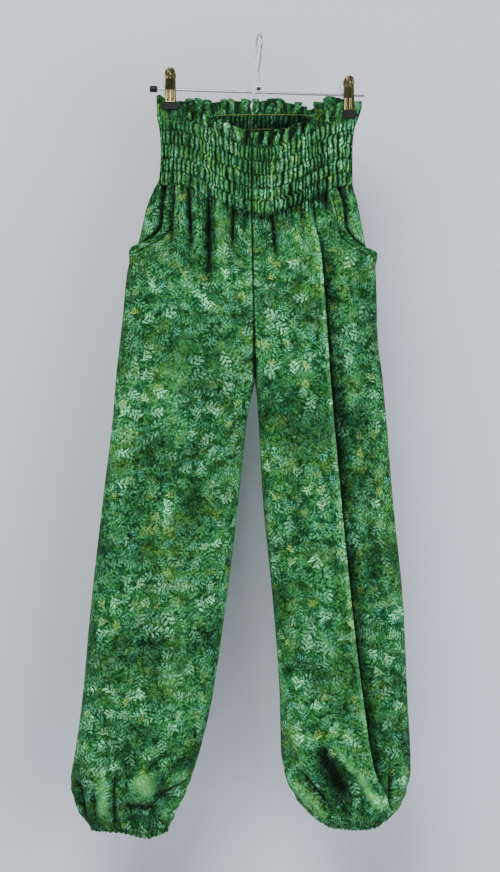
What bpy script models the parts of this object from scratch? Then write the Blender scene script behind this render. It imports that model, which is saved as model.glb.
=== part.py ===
# Harem pants with a smocked waist, slash pockets and elastic ankles, hung by two spring clips.
# Millimetres, made metres as each mesh is built. X runs to the wearer's left, Y to the back, Z up.
# The origin is where the hanger's hook bears on a rail.

import math

import bmesh
import bpy
import numpy as np

MM = 0.001


def table(columns, *rows):
    """Named columns of numbers, a row for each level from the top down."""
    values = np.array(sorted(rows, key=lambda row: -row[0]), float)
    return dict(zip(columns.split(), values.T))


SEAM_GAP = 0.3            # between the edges of two cloth pieces
HALF_GAP = SEAM_GAP / 2
CLOTH = 1.6               # wall of the plain cloth
SHIRRED_CLOTH = 1.3       # wall of the smocked cloth under its puckers

# Smocked waist
TOP_EDGE = -92.0          # height of the frill's edge at the clips
FRILL = 22.0              # frill above the first row of shirring elastic
SHIRRING_ROWS = 6
ROW_PITCH = 19.6
WAIST_BOTTOM = TOP_EDGE - FRILL - ROW_PITCH * (SHIRRING_ROWS - 1)
PUCKERS = {"right": 22, "left": 24}     # across one quarter of the waist
PUCKER_HEIGHT = 1.8
INNER_COLUMNS = 11        # the plain inner face of one quarter
RUFFLE_WAVES = 7          # along the frill of one quarter
RUFFLE_DEPTH = 4.0
CENTRE_SEAM = -10.0       # the front and back seams, down to the crotch
CROTCH = -482.0
CROTCH_CURVE = 75.0       # height over which the seat seam turns under
SEAT_DEPTH = 40.0

# The front's edge sags between the clips; the back's stays nearly straight
FRONT_SAG = 48.0
BACK_SAG = -5.0
SAG_CENTRE = 4.0
SAG_HALF_SPAN = 124.0
SAG_ENDS = -440.0
# Places where the frill's edge stands higher or lower: x, half-width, lift
EDGE_LIFTS = {
    "front": table("x half lift", (-140, 9, 9.0)),
    "back": table("x half lift", (-140, 9, 9.0), (-92, 16, 3.0), (52, 10, -4.0), (71, 8, -11.0),
                  (106, 14, 4.0)),
}

# Hanger
CLIP_X = {"right": -124.0, "left": 125.7}
CLIP_TOP = {"right": -46.9, "left": -58.7}
CLIP_BODY = 15.6
CLIP_LENGTH = 47.6
PAD_SIZE = {"right": (23.7, 4.2, 10.2), "left": (20.3, 4.2, 10.8)}
PAD_FACE = 2.75           # from the middle plane to a pad's gripping face
JAW_PLATE = 1.0
BAR_DIAMETER = 3.4
BAR_RIGHT_END = (-142.0, 0.0, -75.2)
BAR_LEFT_END = (147.3, 0.0, -84.7)
END_CAP = (9.2, 11.0)     # diameter, length
HOOK_WIRE = 2.6
RAIL_DIAMETER = 25.0
BRIDGE_WIDTH = 14.4
BRIDGE_TOP = -72.0
BRIDGE_FOOT = -84.6
BRIDGE_STRIP = (1.2, 7.0)
SWIVEL = (5.6, 2.6)       # diameter, height
SPRING_WIRE = 1.4


# Side outline and depth of each leg's tube; above the crotch the inner edge is the centre seam.
LEGS = {
    "right": table(
        "z outer inner front back",
        (-80, -144.0, -10.0, 30, 24),
        (-114, -143.0, -10.0, 30, 24),
        (-131, -139.6, -10.0, 30, 24),
        (-160, -137.6, -10.0, 30, 24),
        (-200, -139.8, -10.0, 30, 24),
        (-214, -146.4, -10.0, 33, 27),
        (-242, -157.6, -9.6, 35, 30),
        (-270, -164.0, -9.2, 37, 33),
        (-291, -169.5, -8.9, 38, 35),
        (-302, -176.4, -8.7, 39, 36),
        (-335, -185.0, -8.2, 40, 38),
        (-400, -191.5, -7.0, 40, 38),
        (-482, -200.6, -6.0, 40, 39),
        (-500, -202.0, -9.0, 39, 38),
        (-531, -204.4, -15.8, 37, 37),
        (-650, -218.6, -28.4, 35, 35),
        (-800, -235.6, -46.8, 35, 35),
        (-930, -247.6, -66.0, 38, 37),
        (-1000, -257.0, -82.5, 43, 42),
        (-1045, -263.8, -96.5, 46, 45),
        (-1072, -259.6, -106.5, 41, 41),
        (-1095, -245.0, -119.0, 27, 28),
        (-1105, -237.0, -125.6, 18, 19)),
    "left": table(
        "z outer inner front back",
        (-80, 144.0, -10.0, 30, 24),
        (-97, 144.0, -10.0, 30, 24),
        (-118, 138.6, -10.0, 30, 24),
        (-130, 134.0, -10.0, 30, 24),
        (-160, 131.0, -10.0, 30, 24),
        (-205, 131.0, -10.0, 33, 27),
        (-237, 138.6, -9.6, 35, 30),
        (-282, 146.9, -9.0, 37, 34),
        (-297, 150.0, -8.8, 38, 36),
        (-306, 159.6, -8.7, 39, 36),
        (-335, 163.6, -8.2, 40, 38),
        (-424, 166.2, -6.8, 40, 38),
        (-482, 173.2, -6.0, 40, 39),
        (-500, 174.8, -3.6, 39, 38),
        (-531, 177.8, -1.4, 37, 37),
        (-650, 187.6, 5.4, 35, 35),
        (-800, 202.2, 20.0, 35, 35),
        (-930, 208.0, 29.0, 38, 37),
        (-1000, 211.8, 30.6, 43, 42),
        (-1022, 212.2, 33.8, 45, 44),
        (-1045, 210.0, 39.5, 46, 45),
        (-1068, 203.0, 51.0, 44, 43),
        (-1083, 194.0, 64.0, 39, 38),
        (-1096, 180.0, 79.5, 31, 31)),
}

# Depth of the waist and hips: half-depth at the sides, what the middle stands out in front and
# behind, how much of the width that takes, and how square the sides are.
HIPS = table(
    "z flat front back spread edge",
    (-80, 1.9, 22, 6, 0.72, 10),
    (-119, 2.0, 24, 8, 0.74, 10),
    (-136, 5.0, 24, 10, 0.84, 8),
    (-160, 10.0, 21, 12, 0.94, 6),
    (-190, 17.0, 15, 10, 1.00, 4.5),
    (-212, 21.0, 12, 8, 1.00, 4.0),
    (-250, 27.0, 10, 7, 1.00, 3.2),
    (-300, 33.0, 7, 5, 1.00, 2.6),
    (-475, 36.0, 4, 3, 1.00, 2.4))

# Mouth of each slash pocket, down the front panel's free edge and out to its corner in the side seam.
POCKET_MOUTHS = {
    "right": table(
        "z x",
        (-212, -127.6), (-240, -131.5), (-267, -133.4), (-279, -140.0), (-289, -155.0),
        (-297.2, -179.8)),
    "left": table(
        "z x",
        (-212, 108.0), (-240, 116.2), (-270, 119.0), (-284, 126.8), (-296, 143.0),
        (-304.2, 164.6)),
}
# Stitched inner edge of the band round each mouth
BAND_EDGES = {
    "right": table(
        "z x",
        (-212, -117.5), (-252, -122.5), (-270, -122.0), (-279, -124.5), (-289, -133.5),
        (-297.2, -146.0), (-302, -157.0), (-306, -167.5)),
    "left": table(
        "z x",
        (-212, 96.5), (-254, 105.0), (-272, 107.5), (-284, 111.5), (-296, 122.0),
        (-304.2, 134.0), (-309, 142.5), (-313, 151.5)),
}
BAND_THICKNESS = 1.1
BAND_LIFT = 0.9
POCKET_DEPTH = 34.0       # facing below the mouth's corner
POCKET_REACH = 20.0       # facing behind the front, inward of the mouth
POCKET_GAPE = 6.5         # from the front's face to the facing's, at the mouth
POUCH_GAPE = 14.0         # the same behind the gathers
CORNER_FLARE = 6.0        # how far the band's corner stands out past the side seam
FLARE_SPAN = 24.0

# Folds: a line down the cloth from (x0, z0) to (x1, z1), half-width and depth of its hollow.
FOLDS = {
    ("front", "right"): table(
        "x0 z0 x1 z1 width depth",
        (-36, -206, -40, -300, 5.5, 6.0), (-68, -206, -69, -350, 6.0, 7.5),
        (-99, -206, -92, -310, 5.5, 7.0), (-52, -210, -56, -262, 4.5, 4.0),
        (-84, -212, -82, -268, 4.5, 4.0), (-20, -214, -22, -268, 4.5, 3.5),
        (-112, -214, -118, -330, 5.5, 5.0), (-60, -420, -112, -760, 15.0, 4.5),
        (-150, -560, -158, -960, 16.0, 5.0), (-152, -1052, -124, -1080, 6.0, 6.0),
        (-205, -990, -203, -1100, 6.0, 5.0), (-176, -1010, -181, -1100, 7.0, 5.0)),
    ("front", "left"): table(
        "x0 z0 x1 z1 width depth",
        (19, -212, 24, -292, 5.5, 6.0), (4, -214, 5, -262, 4.5, 4.0),
        (40, -210, 42, -268, 4.5, 4.5), (57, -208, 60, -276, 4.5, 4.0),
        (86, -206, 88, -262, 4.5, 5.0),
        (28, -420, 62, -800, 15.0, 4.0), (138, -480, 168, -900, 15.0, 5.0),
        (50, -1050, 88, -1080, 6.0, 5.0), (106, -985, 108, -1090, 7.0, 6.0),
        (132, -1000, 134, -1090, 6.0, 5.0)),
    ("back", "right"): table(
        "x0 z0 x1 z1 width depth",
        (-28, -206, -30, -300, 5.5, 6.0), (-52, -206, -55, -330, 6.0, 7.0),
        (-80, -206, -84, -290, 5.5, 6.0), (-106, -206, -114, -340, 6.0, 7.0),
        (-124, -212, -136, -300, 5.0, 4.0), (-66, -380, -106, -760, 16.0, 7.0),
        (-140, -430, -170, -950, 18.0, 8.0), (-196, -1000, -200, -1098, 7.0, 6.0),
        (-160, -1000, -164, -1098, 7.0, 6.0)),
    ("back", "left"): table(
        "x0 z0 x1 z1 width depth",
        (12, -206, 14, -300, 5.5, 6.0), (36, -206, 40, -330, 6.0, 7.0),
        (62, -206, 66, -290, 5.5, 6.0), (88, -206, 94, -330, 6.0, 7.0),
        (112, -210, 120, -300, 5.0, 4.0), (46, -380, 72, -760, 16.0, 7.0),
        (112, -430, 148, -950, 18.0, 8.0), (110, -985, 112, -1090, 7.0, 6.0),
        (146, -1000, 142, -1090, 7.0, 6.0)),
}

# The long knife fold down the left front: its fold edge, and how far it stands out and laps over.
KNIFE_FOLD = table(
    "z x height lap",
    (-230, 70, 0, 0), (-262, 76, 6, 2), (-302, 81, 13, 5), (-376, 86, 15, 6), (-470, 92, 15, 6),
    (-585, 102, 15, 6), (-701, 113, 14, 6), (-799, 123, 14, 6), (-930, 139, 14, 6),
    (-1015, 153, 10, 5), (-1045, 165, 6, 2), (-1075, 168, 0, 0),
    (-1096, 150, 0, 0))
KNIFE_HALF_WIDTH = 14.0
KNIFE_STATIONS = (-1, -0.65, -0.42, -0.21, 0, 0.21, 0.42, 0.65, 1)

# Levels at which the leg panels have a row of points, and the columns there.
LEG_LEVELS = (-345, -398, -440, -467, -482, -520, -600, -710, -830, -930, -995, -1035, -1062, -1082)
SEAT_LEVELS = (-238, -266, -296, -320)
LEG_BOTTOM = {"right": -1104.5, "left": -1095.5}
HIP_COLUMNS = 16
PLAIN_COLUMNS = 12
ANKLE_COLUMNS = 18
NEAREST = 4.5             # least distance between a plain column and the next
FOLD_NEAREST = 3.0        # the same for a fold's column
ANKLE_GATHERS = 4         # across one panel, above the casing
ANKLE_GATHER_DEPTH = 2.4

# Elastic casing: its rings from the top down
ANKLE_RINGS = {
    "right": table("z outer inner depth crinkle hang",
                   (-1104.9, -237.6, -125.4, 18.0, 0.8, 0), (-1106.8, -235.5, -127.0, 15.5, 1.0, 4),
                   (-1109.6, -234.6, -128.0, 15.0, 1.6, 9)),
    "left": table("z outer inner depth crinkle hang",
                  (-1095.9, 180.0, 80.0, 30.5, 0.8, 0), (-1098.4, 173.0, 90.0, 28.0, 1.0, 0),
                  (-1101.6, 170.0, 92.0, 28.0, 1.6, 1)),
}
CASING_HANG = {"right": (-156, 24), "left": (140, 24)}     # where each casing hangs lowest, and how widely
ANKLE_WAVES = 20
CASING_CLOTH = 2.0


def read(rows, column, z):
    """A column of a table at height z, on a smooth curve that never overshoots its rows."""
    x = -rows["z"]
    y = rows[column]
    steps = np.diff(x)
    slopes = np.diff(y) / steps
    tangents = np.zeros(len(x))
    tangents[0], tangents[-1] = slopes[0], slopes[-1]
    same_way = slopes[:-1] * slopes[1:] > 0
    before, after = slopes[:-1][same_way], slopes[1:][same_way]
    tangents[1:-1][same_way] = 2 * before * after / (before + after)
    where = np.clip(-np.asarray(z, float), x[0], x[-1])
    i = np.clip(np.searchsorted(x, where, side="right") - 1, 0, len(steps) - 1)
    h = steps[i]
    t = (where - x[i]) / h
    return ((1 + 2 * t) * (1 - t) ** 2 * y[i] + t * (1 - t) ** 2 * h * tangents[i]
            + t * t * (3 - 2 * t) * y[i + 1] + t * t * (t - 1) * h * tangents[i + 1])


def ramp(value, start, end):
    """0 up to start, 1 from end on, smooth between."""
    t = np.clip((value - start) / (end - start), 0, 1)
    return t * t * (3 - 2 * t)


def uneven(number, seed):
    """A repeatable value from -1 to 1 for each whole number."""
    return 2 * np.mod(np.sin(number * 12.9898 + seed * 78.233) * 43758.5453, 1) - 1


def sag(x, z, face):
    """How far the cloth at x has dropped, most at the top edge and fading down the hips."""
    amount = FRONT_SAG if face == "front" else BACK_SAG
    arch = np.clip(1 - ((x - SAG_CENTRE) / SAG_HALF_SPAN) ** 2, 0, 1) ** 2
    return amount * arch * (1 - ramp(z, TOP_EDGE - 60, SAG_ENDS))


def side_edge(side, face, z):
    """The x of a leg's outer edge; the front's flares at its pocket's corner."""
    outer = read(LEGS[side], "outer", z)
    if face == "back":
        return outer
    corner = POCKET_MOUTHS[side]["z"][-1]
    flare = CORNER_FLARE * (1 - ramp(np.abs(z - corner), 0, FLARE_SPAN))
    return outer + np.sign(outer) * flare


def hip_depth(x, z, face):
    """Half-depth of the one tube that the waist and hips make."""
    right = side_edge("right", face, z)
    left = side_edge("left", face, z)
    across = np.clip(np.abs((2 * x - left - right) / (left - right)), 0, 1)
    middle = np.clip(1 - (across / read(HIPS, "spread", z)) ** 2, 0, 1) ** 2
    side = np.sqrt(1 - across ** read(HIPS, "edge", z))
    return read(HIPS, "flat", z) * side + read(HIPS, face, z) * middle


def seat_depth(z):
    """Half-depth at the centre seam, which turns under to nothing at the crotch."""
    turned = np.clip((CROTCH + CROTCH_CURVE - z) / CROTCH_CURVE, 0, 1)
    return SEAT_DEPTH * np.sqrt(1 - turned ** 2)


def leg_depth(side, x, z, face):
    """Half-depth of one leg's tube."""
    outer = side_edge(side, face, z)
    inner = read(LEGS[side], "inner", z)
    across = np.clip((2 * x - outer - inner) / (outer - inner), -1, 1)
    oval = (1 - np.abs(across) ** 2.4) ** (1 / 2.1)
    crown = read(LEGS[side], face, z)
    inner_edge = seat_depth(z)
    return np.where(across > 0, crown * oval, inner_edge + (crown - inner_edge) * oval)


def fold_hollow(side, x, z, face):
    """Depth of all the soft folds of a panel at a point."""
    folds = FOLDS[(face, side)]
    total = np.zeros(np.broadcast(x, z).shape)
    for x0, z0, x1, z1, width, depth in zip(*folds.values()):
        along = (z0 - z) / (z0 - z1)
        middle = x0 + (x1 - x0) * along
        fade = ramp(along, -0.12, 0.15) * (1 - ramp(along, 0.55, 1.1))
        total = total + depth * fade * np.exp(-((x - middle) / width) ** 2)
    return total


def smooth_depth(side, x, z, face):
    """Half-depth of the hips, turning into that of one leg on the way down."""
    legness = ramp(z, -330, -430)
    return hip_depth(x, z, face) * (1 - legness) + leg_depth(side, x, z, face) * legness


def panel_point(side, face, x, z):
    """A point of a panel's outer surface; z is its height before the cloth sags."""
    outward = -1 if face == "front" else 1
    depth = smooth_depth(side, x, z, face)
    edges = np.minimum(1, depth / 12)
    depth = depth - fold_hollow(side, x, z, face) * edges
    shift = np.zeros(np.broadcast(x, z).shape)
    if (face, side) == ("front", "left"):
        s = np.clip((x - read(KNIFE_FOLD, "x", z)) / KNIFE_HALF_WIDTH, -1, 1)
        wave = -np.sin(math.pi * s)
        depth = depth + wave * read(KNIFE_FOLD, "height", z) / 2
        shift = wave * read(KNIFE_FOLD, "lap", z)
    y = outward * (HALF_GAP + np.maximum(depth, 0))
    return np.stack(np.broadcast_arrays(x + shift, y, z - sag(x, z, face)), axis=-1)


def panel_edges(side, face, z):
    """The x of a panel's side edge and of its inner edge at a level."""
    outer = side_edge(side, face, z)
    inner = read(LEGS[side], "inner", z) + (-HALF_GAP if side == "right" else HALF_GAP)
    mouth = POCKET_MOUTHS[side]
    if face == "front" and z >= mouth["z"][-1]:
        outer = read(mouth, "x", z)
    return outer, inner


def knife_stations(side, face, z):
    """The x of the points that shape the knife fold at a level."""
    if (face, side) != ("front", "left"):
        return np.array([])
    return read(KNIFE_FOLD, "x", z) + KNIFE_HALF_WIDTH * np.array(KNIFE_STATIONS)


def fold_stations(side, face, z):
    """The x of each soft fold's middle and shoulders at a level."""
    stations = []
    for x0, z0, x1, z1, width, _ in zip(*FOLDS[(face, side)].values()):
        along = (z0 - z) / (z0 - z1)
        if -0.05 < along < 1.05:
            middle = x0 + (x1 - x0) * along
            stations += [middle, middle - 1.2 * width, middle + 1.2 * width]
    return np.array(stations)


def spread_columns(side, face, z, count):
    """Shares of a panel's width: where its folds need points, and evenly between them.

    With each share comes a key, which is the same at the same part of the knife fold in every row.
    """
    outer, inner = panel_edges(side, face, z)
    c = np.linspace(0, 1, count + 1)
    even = 0.5 + 0.5 * np.sin((c - 0.5) * math.pi * 0.92) / math.sin(0.46 * math.pi)
    knife = (knife_stations(side, face, z) - outer) / (inner - outer)
    shares = [0.0, 1.0, *knife]
    for nearest, wanted in ((FOLD_NEAREST, (fold_stations(side, face, z) - outer) / (inner - outer)),
                            (NEAREST, even)):
        for share in wanted:
            crowded = min(abs(share - other) for other in shares) * abs(inner - outer)
            edge = min(share, 1 - share) * abs(inner - outer)
            in_fold = len(knife) and knife.min() < share < knife.max()
            if edge > 0 and not in_fold and crowded > min(nearest, 0.5 + edge / 2):
                shares.append(share)
    shares = np.sort(shares)
    return shares, np.interp(shares, [0, *knife, 1], np.linspace(0, 1, len(knife) + 2))


def panel_row(side, face, z, columns):
    """Outer and inner points across a panel at one level, from its side edge inwards."""
    shares, keys = spread_columns(side, face, z, columns)

    def at(share, level):
        outer, inner = panel_edges(side, face, level)
        x = outer + (inner - outer) * share
        gathers = np.sin(math.pi * ANKLE_GATHERS * share) ** 2
        point = panel_point(side, face, x, level)
        point[..., 1] *= 1 - 0.08 * gathers * ramp(level, -1050, -1090)
        return point

    nudge = 0.004
    points = at(shares, z)
    across = at(np.minimum(shares + nudge, 1), z) - at(np.maximum(shares - nudge, 0), z)
    down = at(shares, z - 0.5) - at(shares, z + 0.5)
    normals = np.cross(across, down)
    normals /= np.linalg.norm(normals, axis=1, keepdims=True)
    outward = -1 if face == "front" else 1
    inside = points - CLOTH * normals * np.sign(normals[:, 1].sum() * outward)
    keep_clear_of_seams(side, face, z, points, inside)
    return points, inside, keys


def keep_clear_of_seams(side, face, z, points, inside):
    """Square the wall's cut edges to their seams."""
    outward = -1 if face == "front" else 1
    inside[:, 1] = outward * np.maximum(outward * inside[:, 1], HALF_GAP)
    if z > CROTCH - 1:
        seam = read(LEGS[side], "inner", z) + (-HALF_GAP if side == "right" else HALF_GAP)
        limit = np.minimum if side == "right" else np.maximum
        inside[:, 0] = limit(inside[:, 0], seam)
    if z > CROTCH + CROTCH_CURVE:
        inside[-1, 0] = points[-1, 0]
    if abs(points[0, 1]) < 2 * SEAM_GAP:
        inside[0, 1] = points[0, 1]
    if abs(points[-1, 1]) < 2 * SEAM_GAP:
        inside[-1, 1] = points[-1, 1]


def zip_runs(faces, upper, lower, upper_keys=None, lower_keys=None):
    """Triangles between two runs of point numbers, matched by the points' keys along them."""
    if upper_keys is None:
        upper_keys, lower_keys = np.linspace(0, 1, len(upper)), np.linspace(0, 1, len(lower))
    i = j = 0
    last_i, last_j = len(upper) - 1, len(lower) - 1
    while i < last_i or j < last_j:
        upper_next = i < last_i and (j == last_j or upper_keys[i + 1] - lower_keys[j]
                                     <= lower_keys[j + 1] - upper_keys[i])
        if upper_next:
            faces.append((upper[i], lower[j], upper[i + 1]))
            i += 1
        else:
            faces.append((upper[i], lower[j], lower[j + 1]))
            j += 1


def mesh_object(name, points, faces, material):
    """One closed solid from points in millimetres."""
    mesh = bpy.data.meshes.new(name)
    bm = bmesh.new()
    verts = [bm.verts.new(np.asarray(point) * MM) for point in points]
    for face in faces:
        bm.faces.new([verts[number] for number in face])
    bmesh.ops.recalc_face_normals(bm, faces=bm.faces)
    bm.to_mesh(mesh)
    bm.free()
    mesh.shade_smooth()
    mesh.set_sharp_from_angle(angle=math.radians(50))
    obj = bpy.data.objects.new(name, mesh)
    mesh.materials.append(material)
    bpy.context.scene.collection.objects.link(obj)
    return obj


def wall(name, outer_rows, inner_rows, material, closed=False, keys=None):
    """A cloth wall between outer and inner rows of points; closed rows run right round a tube."""
    points = []
    faces = []

    def number(rows):
        runs = []
        for row in rows:
            run = list(range(len(points), len(points) + len(row)))
            points.extend(row)
            runs.append(run + run[:1] if closed else run)
        return runs

    outer_runs, inner_runs = number(outer_rows), number(inner_rows)
    for runs in (outer_runs, inner_runs):
        for row in range(len(runs) - 1):
            zip_runs(faces, runs[row], runs[row + 1], *(keys[row:row + 2] if keys else ()))
    for end in (0, -1):
        zip_runs(faces, outer_runs[end], inner_runs[end])
        if not closed:
            zip_runs(faces, [run[end] for run in outer_runs], [run[end] for run in inner_runs])
    return mesh_object(name, points, faces, material)


def finish(name, red, green, blue, roughness, metallic=0.0):
    material = bpy.data.materials.new(name)
    material.use_nodes = True
    shader = material.node_tree.nodes["Principled BSDF"]
    shader.inputs["Base Color"].default_value = (red, green, blue, 1)
    shader.inputs["Roughness"].default_value = roughness
    shader.inputs["Metallic"].default_value = metallic
    return material


def clip_pinch(x, z):
    """1 where a clip holds the waist flat, 0 away from it."""
    held = sum(1 - ramp(np.abs(x - clip), 13, 24) for clip in CLIP_X.values())
    return held * (1 - ramp(z, -116, -134))


def smocked_panel(side, face, material):
    """A quarter of the waist: frill, then puckers between the rows of shirring elastic."""
    outward = -1 if face == "front" else 1
    count = 2 * PUCKERS[side]
    seed = 1 + 2 * (side == "left") + (face == "back")
    rows = [("edge", 0.0), ("frill", FRILL / 2)]
    for row in range(SHIRRING_ROWS):
        rows.append(("shirring", FRILL + row * ROW_PITCH))
        if row < SHIRRING_ROWS - 1:
            rows.append(("puff", FRILL + (row + 0.5) * ROW_PITCH))
    rows[-1] = ("seam", rows[-1][1])
    heights = {"edge": (0.4, 0.7), "frill": (0.2, 0.8), "shirring": (0.0, 0.7),
               "puff": (0.2, PUCKER_HEIGHT), "seam": (0.5, 0.7)}

    def place(share, kind, down, thickness, raised):
        z = TOP_EDGE - down
        outer = read(LEGS[side], "outer", z)
        edge_inset = np.sign(outer) * (SHIRRED_CLOTH if thickness == 0 else 0)
        inner = CENTRE_SEAM + (-HALF_GAP if side == "right" else HALF_GAP)
        x = (outer - edge_inset) + (inner - outer + edge_inset) * share ** 1.3
        ends = np.minimum(1, 6 * share)
        free = 1 - clip_pinch(x, z)
        ruffle = {"edge": 1.0, "frill": 0.5}.get(kind, 0.0)
        wave = 0.5 - 0.5 * np.cos(2 * math.pi * RUFFLE_WAVES * share)
        depth = np.maximum(hip_depth(x, z, face) - CLOTH, 0.3) + thickness
        depth = depth + raised * ends * (0.35 + 0.65 * free)
        depth = depth + ruffle * wave * RUFFLE_DEPTH * ends * free
        depth = np.where(share == 0, 0, depth) + HALF_GAP
        lift = 2.0 * (1 if kind == "edge" else 0) * np.sin(2 * math.pi * RUFFLE_WAVES * share) * free
        for middle, half, more in zip(*EDGE_LIFTS[face].values()):
            lift = lift + ruffle * more * np.exp(-((x - middle) / half) ** 2)
        return np.stack([x, outward * depth, z - sag(x, z, face) + lift], axis=-1)

    outer_rows, inner_rows = [], []
    for number, (kind, down) in enumerate(rows):
        columns = np.arange(count + 1)
        low, high = heights[kind]
        height = np.where(columns % 2 == 1, high * (0.85 + 0.25 * uneven(columns + 57 * number, seed)), low)
        loose = 0.22 * (columns % count > 0) * (kind not in ("edge", "seam"))
        share = (columns + loose * uneven(columns + 31 * number, seed)) / count
        outer_rows.append(place(share, kind, down, SHIRRED_CLOTH, height))
    for kind, down in rows:
        inner_columns = count if kind in ("edge", "frill") else INNER_COLUMNS
        inner_rows.append(place(np.linspace(0, 1, inner_columns + 1), kind, down, 0, 0))
    return wall(f"smocked_{face}_{side}", outer_rows, inner_rows, material)


def leg_panel(side, face, material):
    """A front or back leg panel from the smocking down to the ankle casing."""
    upper = pocket_levels(side)[1:] if face == "front" else SEAT_LEVELS
    levels = [WAIST_BOTTOM - SEAM_GAP, *upper, *LEG_LEVELS, LEG_BOTTOM[side]]
    levels = [z for z in levels if z > LEG_BOTTOM[side] + 8 or z == LEG_BOTTOM[side]]
    outer_rows, inner_rows, keys = [], [], []
    for z in levels:
        columns = HIP_COLUMNS if z > -330 else ANKLE_COLUMNS if z < -1030 else PLAIN_COLUMNS
        points, inside, row_keys = panel_row(side, face, z, columns)
        outer_rows.append(points)
        inner_rows.append(inside)
        keys.append(row_keys)
    for end in (0, -1):
        inner_rows[end][:, 2] = levels[end] - sag(inner_rows[end][:, 0], levels[end], face)
    return wall(f"leg_{face}_{side}", outer_rows, inner_rows, material, keys=keys)


def pocket_levels(side):
    """Rows from the smocking down to the lower end of the pocket's band."""
    mouth, band = POCKET_MOUTHS[side]["z"], BAND_EDGES[side]["z"]
    return [WAIST_BOTTOM - SEAM_GAP, *mouth[1:], *band[-2:]]


def pocket_facing(side, material):
    """The pocket's back layer, from the side seam in behind the front panel."""
    sign = -1 if side == "right" else 1
    mouth = POCKET_MOUTHS[side]
    corner = mouth["z"][-1]
    levels = [WAIST_BOTTOM - SEAM_GAP, *mouth["z"][1:-1], corner + 1, corner - 14, corner - POCKET_DEPTH]
    outer_rows, inner_rows = [], []
    for z in levels:
        hidden = ramp(z, corner + 12, corner - 2)
        bottom = ramp(z, corner - 14, corner - POCKET_DEPTH)
        seam = read(LEGS[side], "outer", z) - sign * (CLOTH + 1.2) * hidden
        reach = read(mouth, "x", max(z, -270)) - sign * POCKET_REACH
        x = seam + (reach - seam) * np.linspace(0, 1, 13) ** 1.4
        past_mouth = sign * (read(mouth, "x", z) - x)
        pouch = (POUCH_GAPE - POCKET_GAPE) * (1 - ramp(z, corner + 16, corner - 2))
        gape = POCKET_GAPE * ramp(past_mouth, -12, 0) + pouch * ramp(past_mouth, 0, 16)
        gape = gape + (CLOTH + 2.0 - gape) * bottom
        depth = np.minimum(smooth_depth(side, x, z, "back"), smooth_depth(side, x, z, "front") - gape)
        depth = np.maximum(depth, (CLOTH + 0.4) * ramp(np.abs(x - seam), 0, 5))
        outside = np.stack([x, -HALF_GAP - depth, z - sag(x, z, "front")], axis=-1)
        outer_rows.append(outside)
        inner_rows.append(offset_row(outside, CLOTH))
    return wall(f"pocket_facing_{side}", outer_rows, inner_rows, material)


def offset_row(row, thickness):
    """The row moved in by a wall's thickness, square to its own run seen from above."""
    run = np.gradient(row[:, :2], axis=0)
    run /= np.linalg.norm(run, axis=1, keepdims=True)
    normal = np.stack([-run[:, 1], run[:, 0]], axis=-1)
    normal *= np.sign(normal[len(row) // 2, 1])
    inside = row.copy()
    inside[:, :2] += thickness * normal
    inside[0] = row[0] + np.array([np.sign(row[-1, 0] - row[0, 0]) * thickness, 0, 0])
    inside[:, 1] = np.minimum(inside[:, 1], -HALF_GAP)
    return inside


def pocket_band(side, material):
    """The turned band along the mouth, raised off the front panel's own points."""
    sign = -1 if side == "right" else 1
    levels = pocket_levels(side)
    levels[0] -= 0.5
    outer_rows, inner_rows = [], []
    for z in levels:
        start, _ = panel_edges(side, "front", z)
        end = read(BAND_EDGES[side], "x", z)
        x = start + (end - start) * np.array([0.0, 0.06, 0.2, 0.4, 0.7, 1.0])
        points = panel_point(side, "front", x, z)
        across = panel_point(side, "front", x - sign * 0.3, z) - points
        down = panel_point(side, "front", x, z - 0.3) - points
        normals = np.cross(across, down)
        normals /= np.linalg.norm(normals, axis=1, keepdims=True)
        normals *= -np.sign(normals[:, 1:2])
        inner_rows.append(points + BAND_LIFT * normals)
        outer_rows.append(points + (BAND_LIFT + BAND_THICKNESS) * normals)
    for row in outer_rows + inner_rows:
        row[:, 1] = np.minimum(row[:, 1], -HALF_GAP)
    return wall(f"pocket_band_{side}", outer_rows, inner_rows, material)


def ankle_casing(side, material):
    """The elastic casing round one ankle, with its crinkled edge."""
    rings = ANKLE_RINGS[side]
    count = 2 * ANKLE_WAVES
    angle = np.arange(count) * 2 * math.pi / count
    outer_rows, inner_rows = [], []
    for row, z in enumerate(rings["z"]):
        middle = (rings["outer"][row] + rings["inner"][row]) / 2
        half_width = abs(rings["outer"][row] - rings["inner"][row]) / 2
        depth = rings["depth"][row]
        wave = rings["crinkle"][row] * (np.arange(count) % 2 - 0.5)
        lowest, spread = CASING_HANG[side]
        x = middle + half_width * np.cos(angle)
        hem = -rings["hang"][row] * np.exp(-((x - lowest) / spread) ** 2)
        if row == len(rings["z"]) - 1:
            hem = hem + 1.2 * uneven(np.arange(count), 5)
        for rows, inset in ((outer_rows, 0), (inner_rows, CASING_CLOTH)):
            rows.append(np.stack([middle + (half_width - inset + wave) * np.cos(angle),
                                  (depth - inset + wave) * np.sin(angle), z + hem], axis=-1))
    return wall(f"ankle_casing_{side}", outer_rows, inner_rows, material, closed=True)


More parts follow.
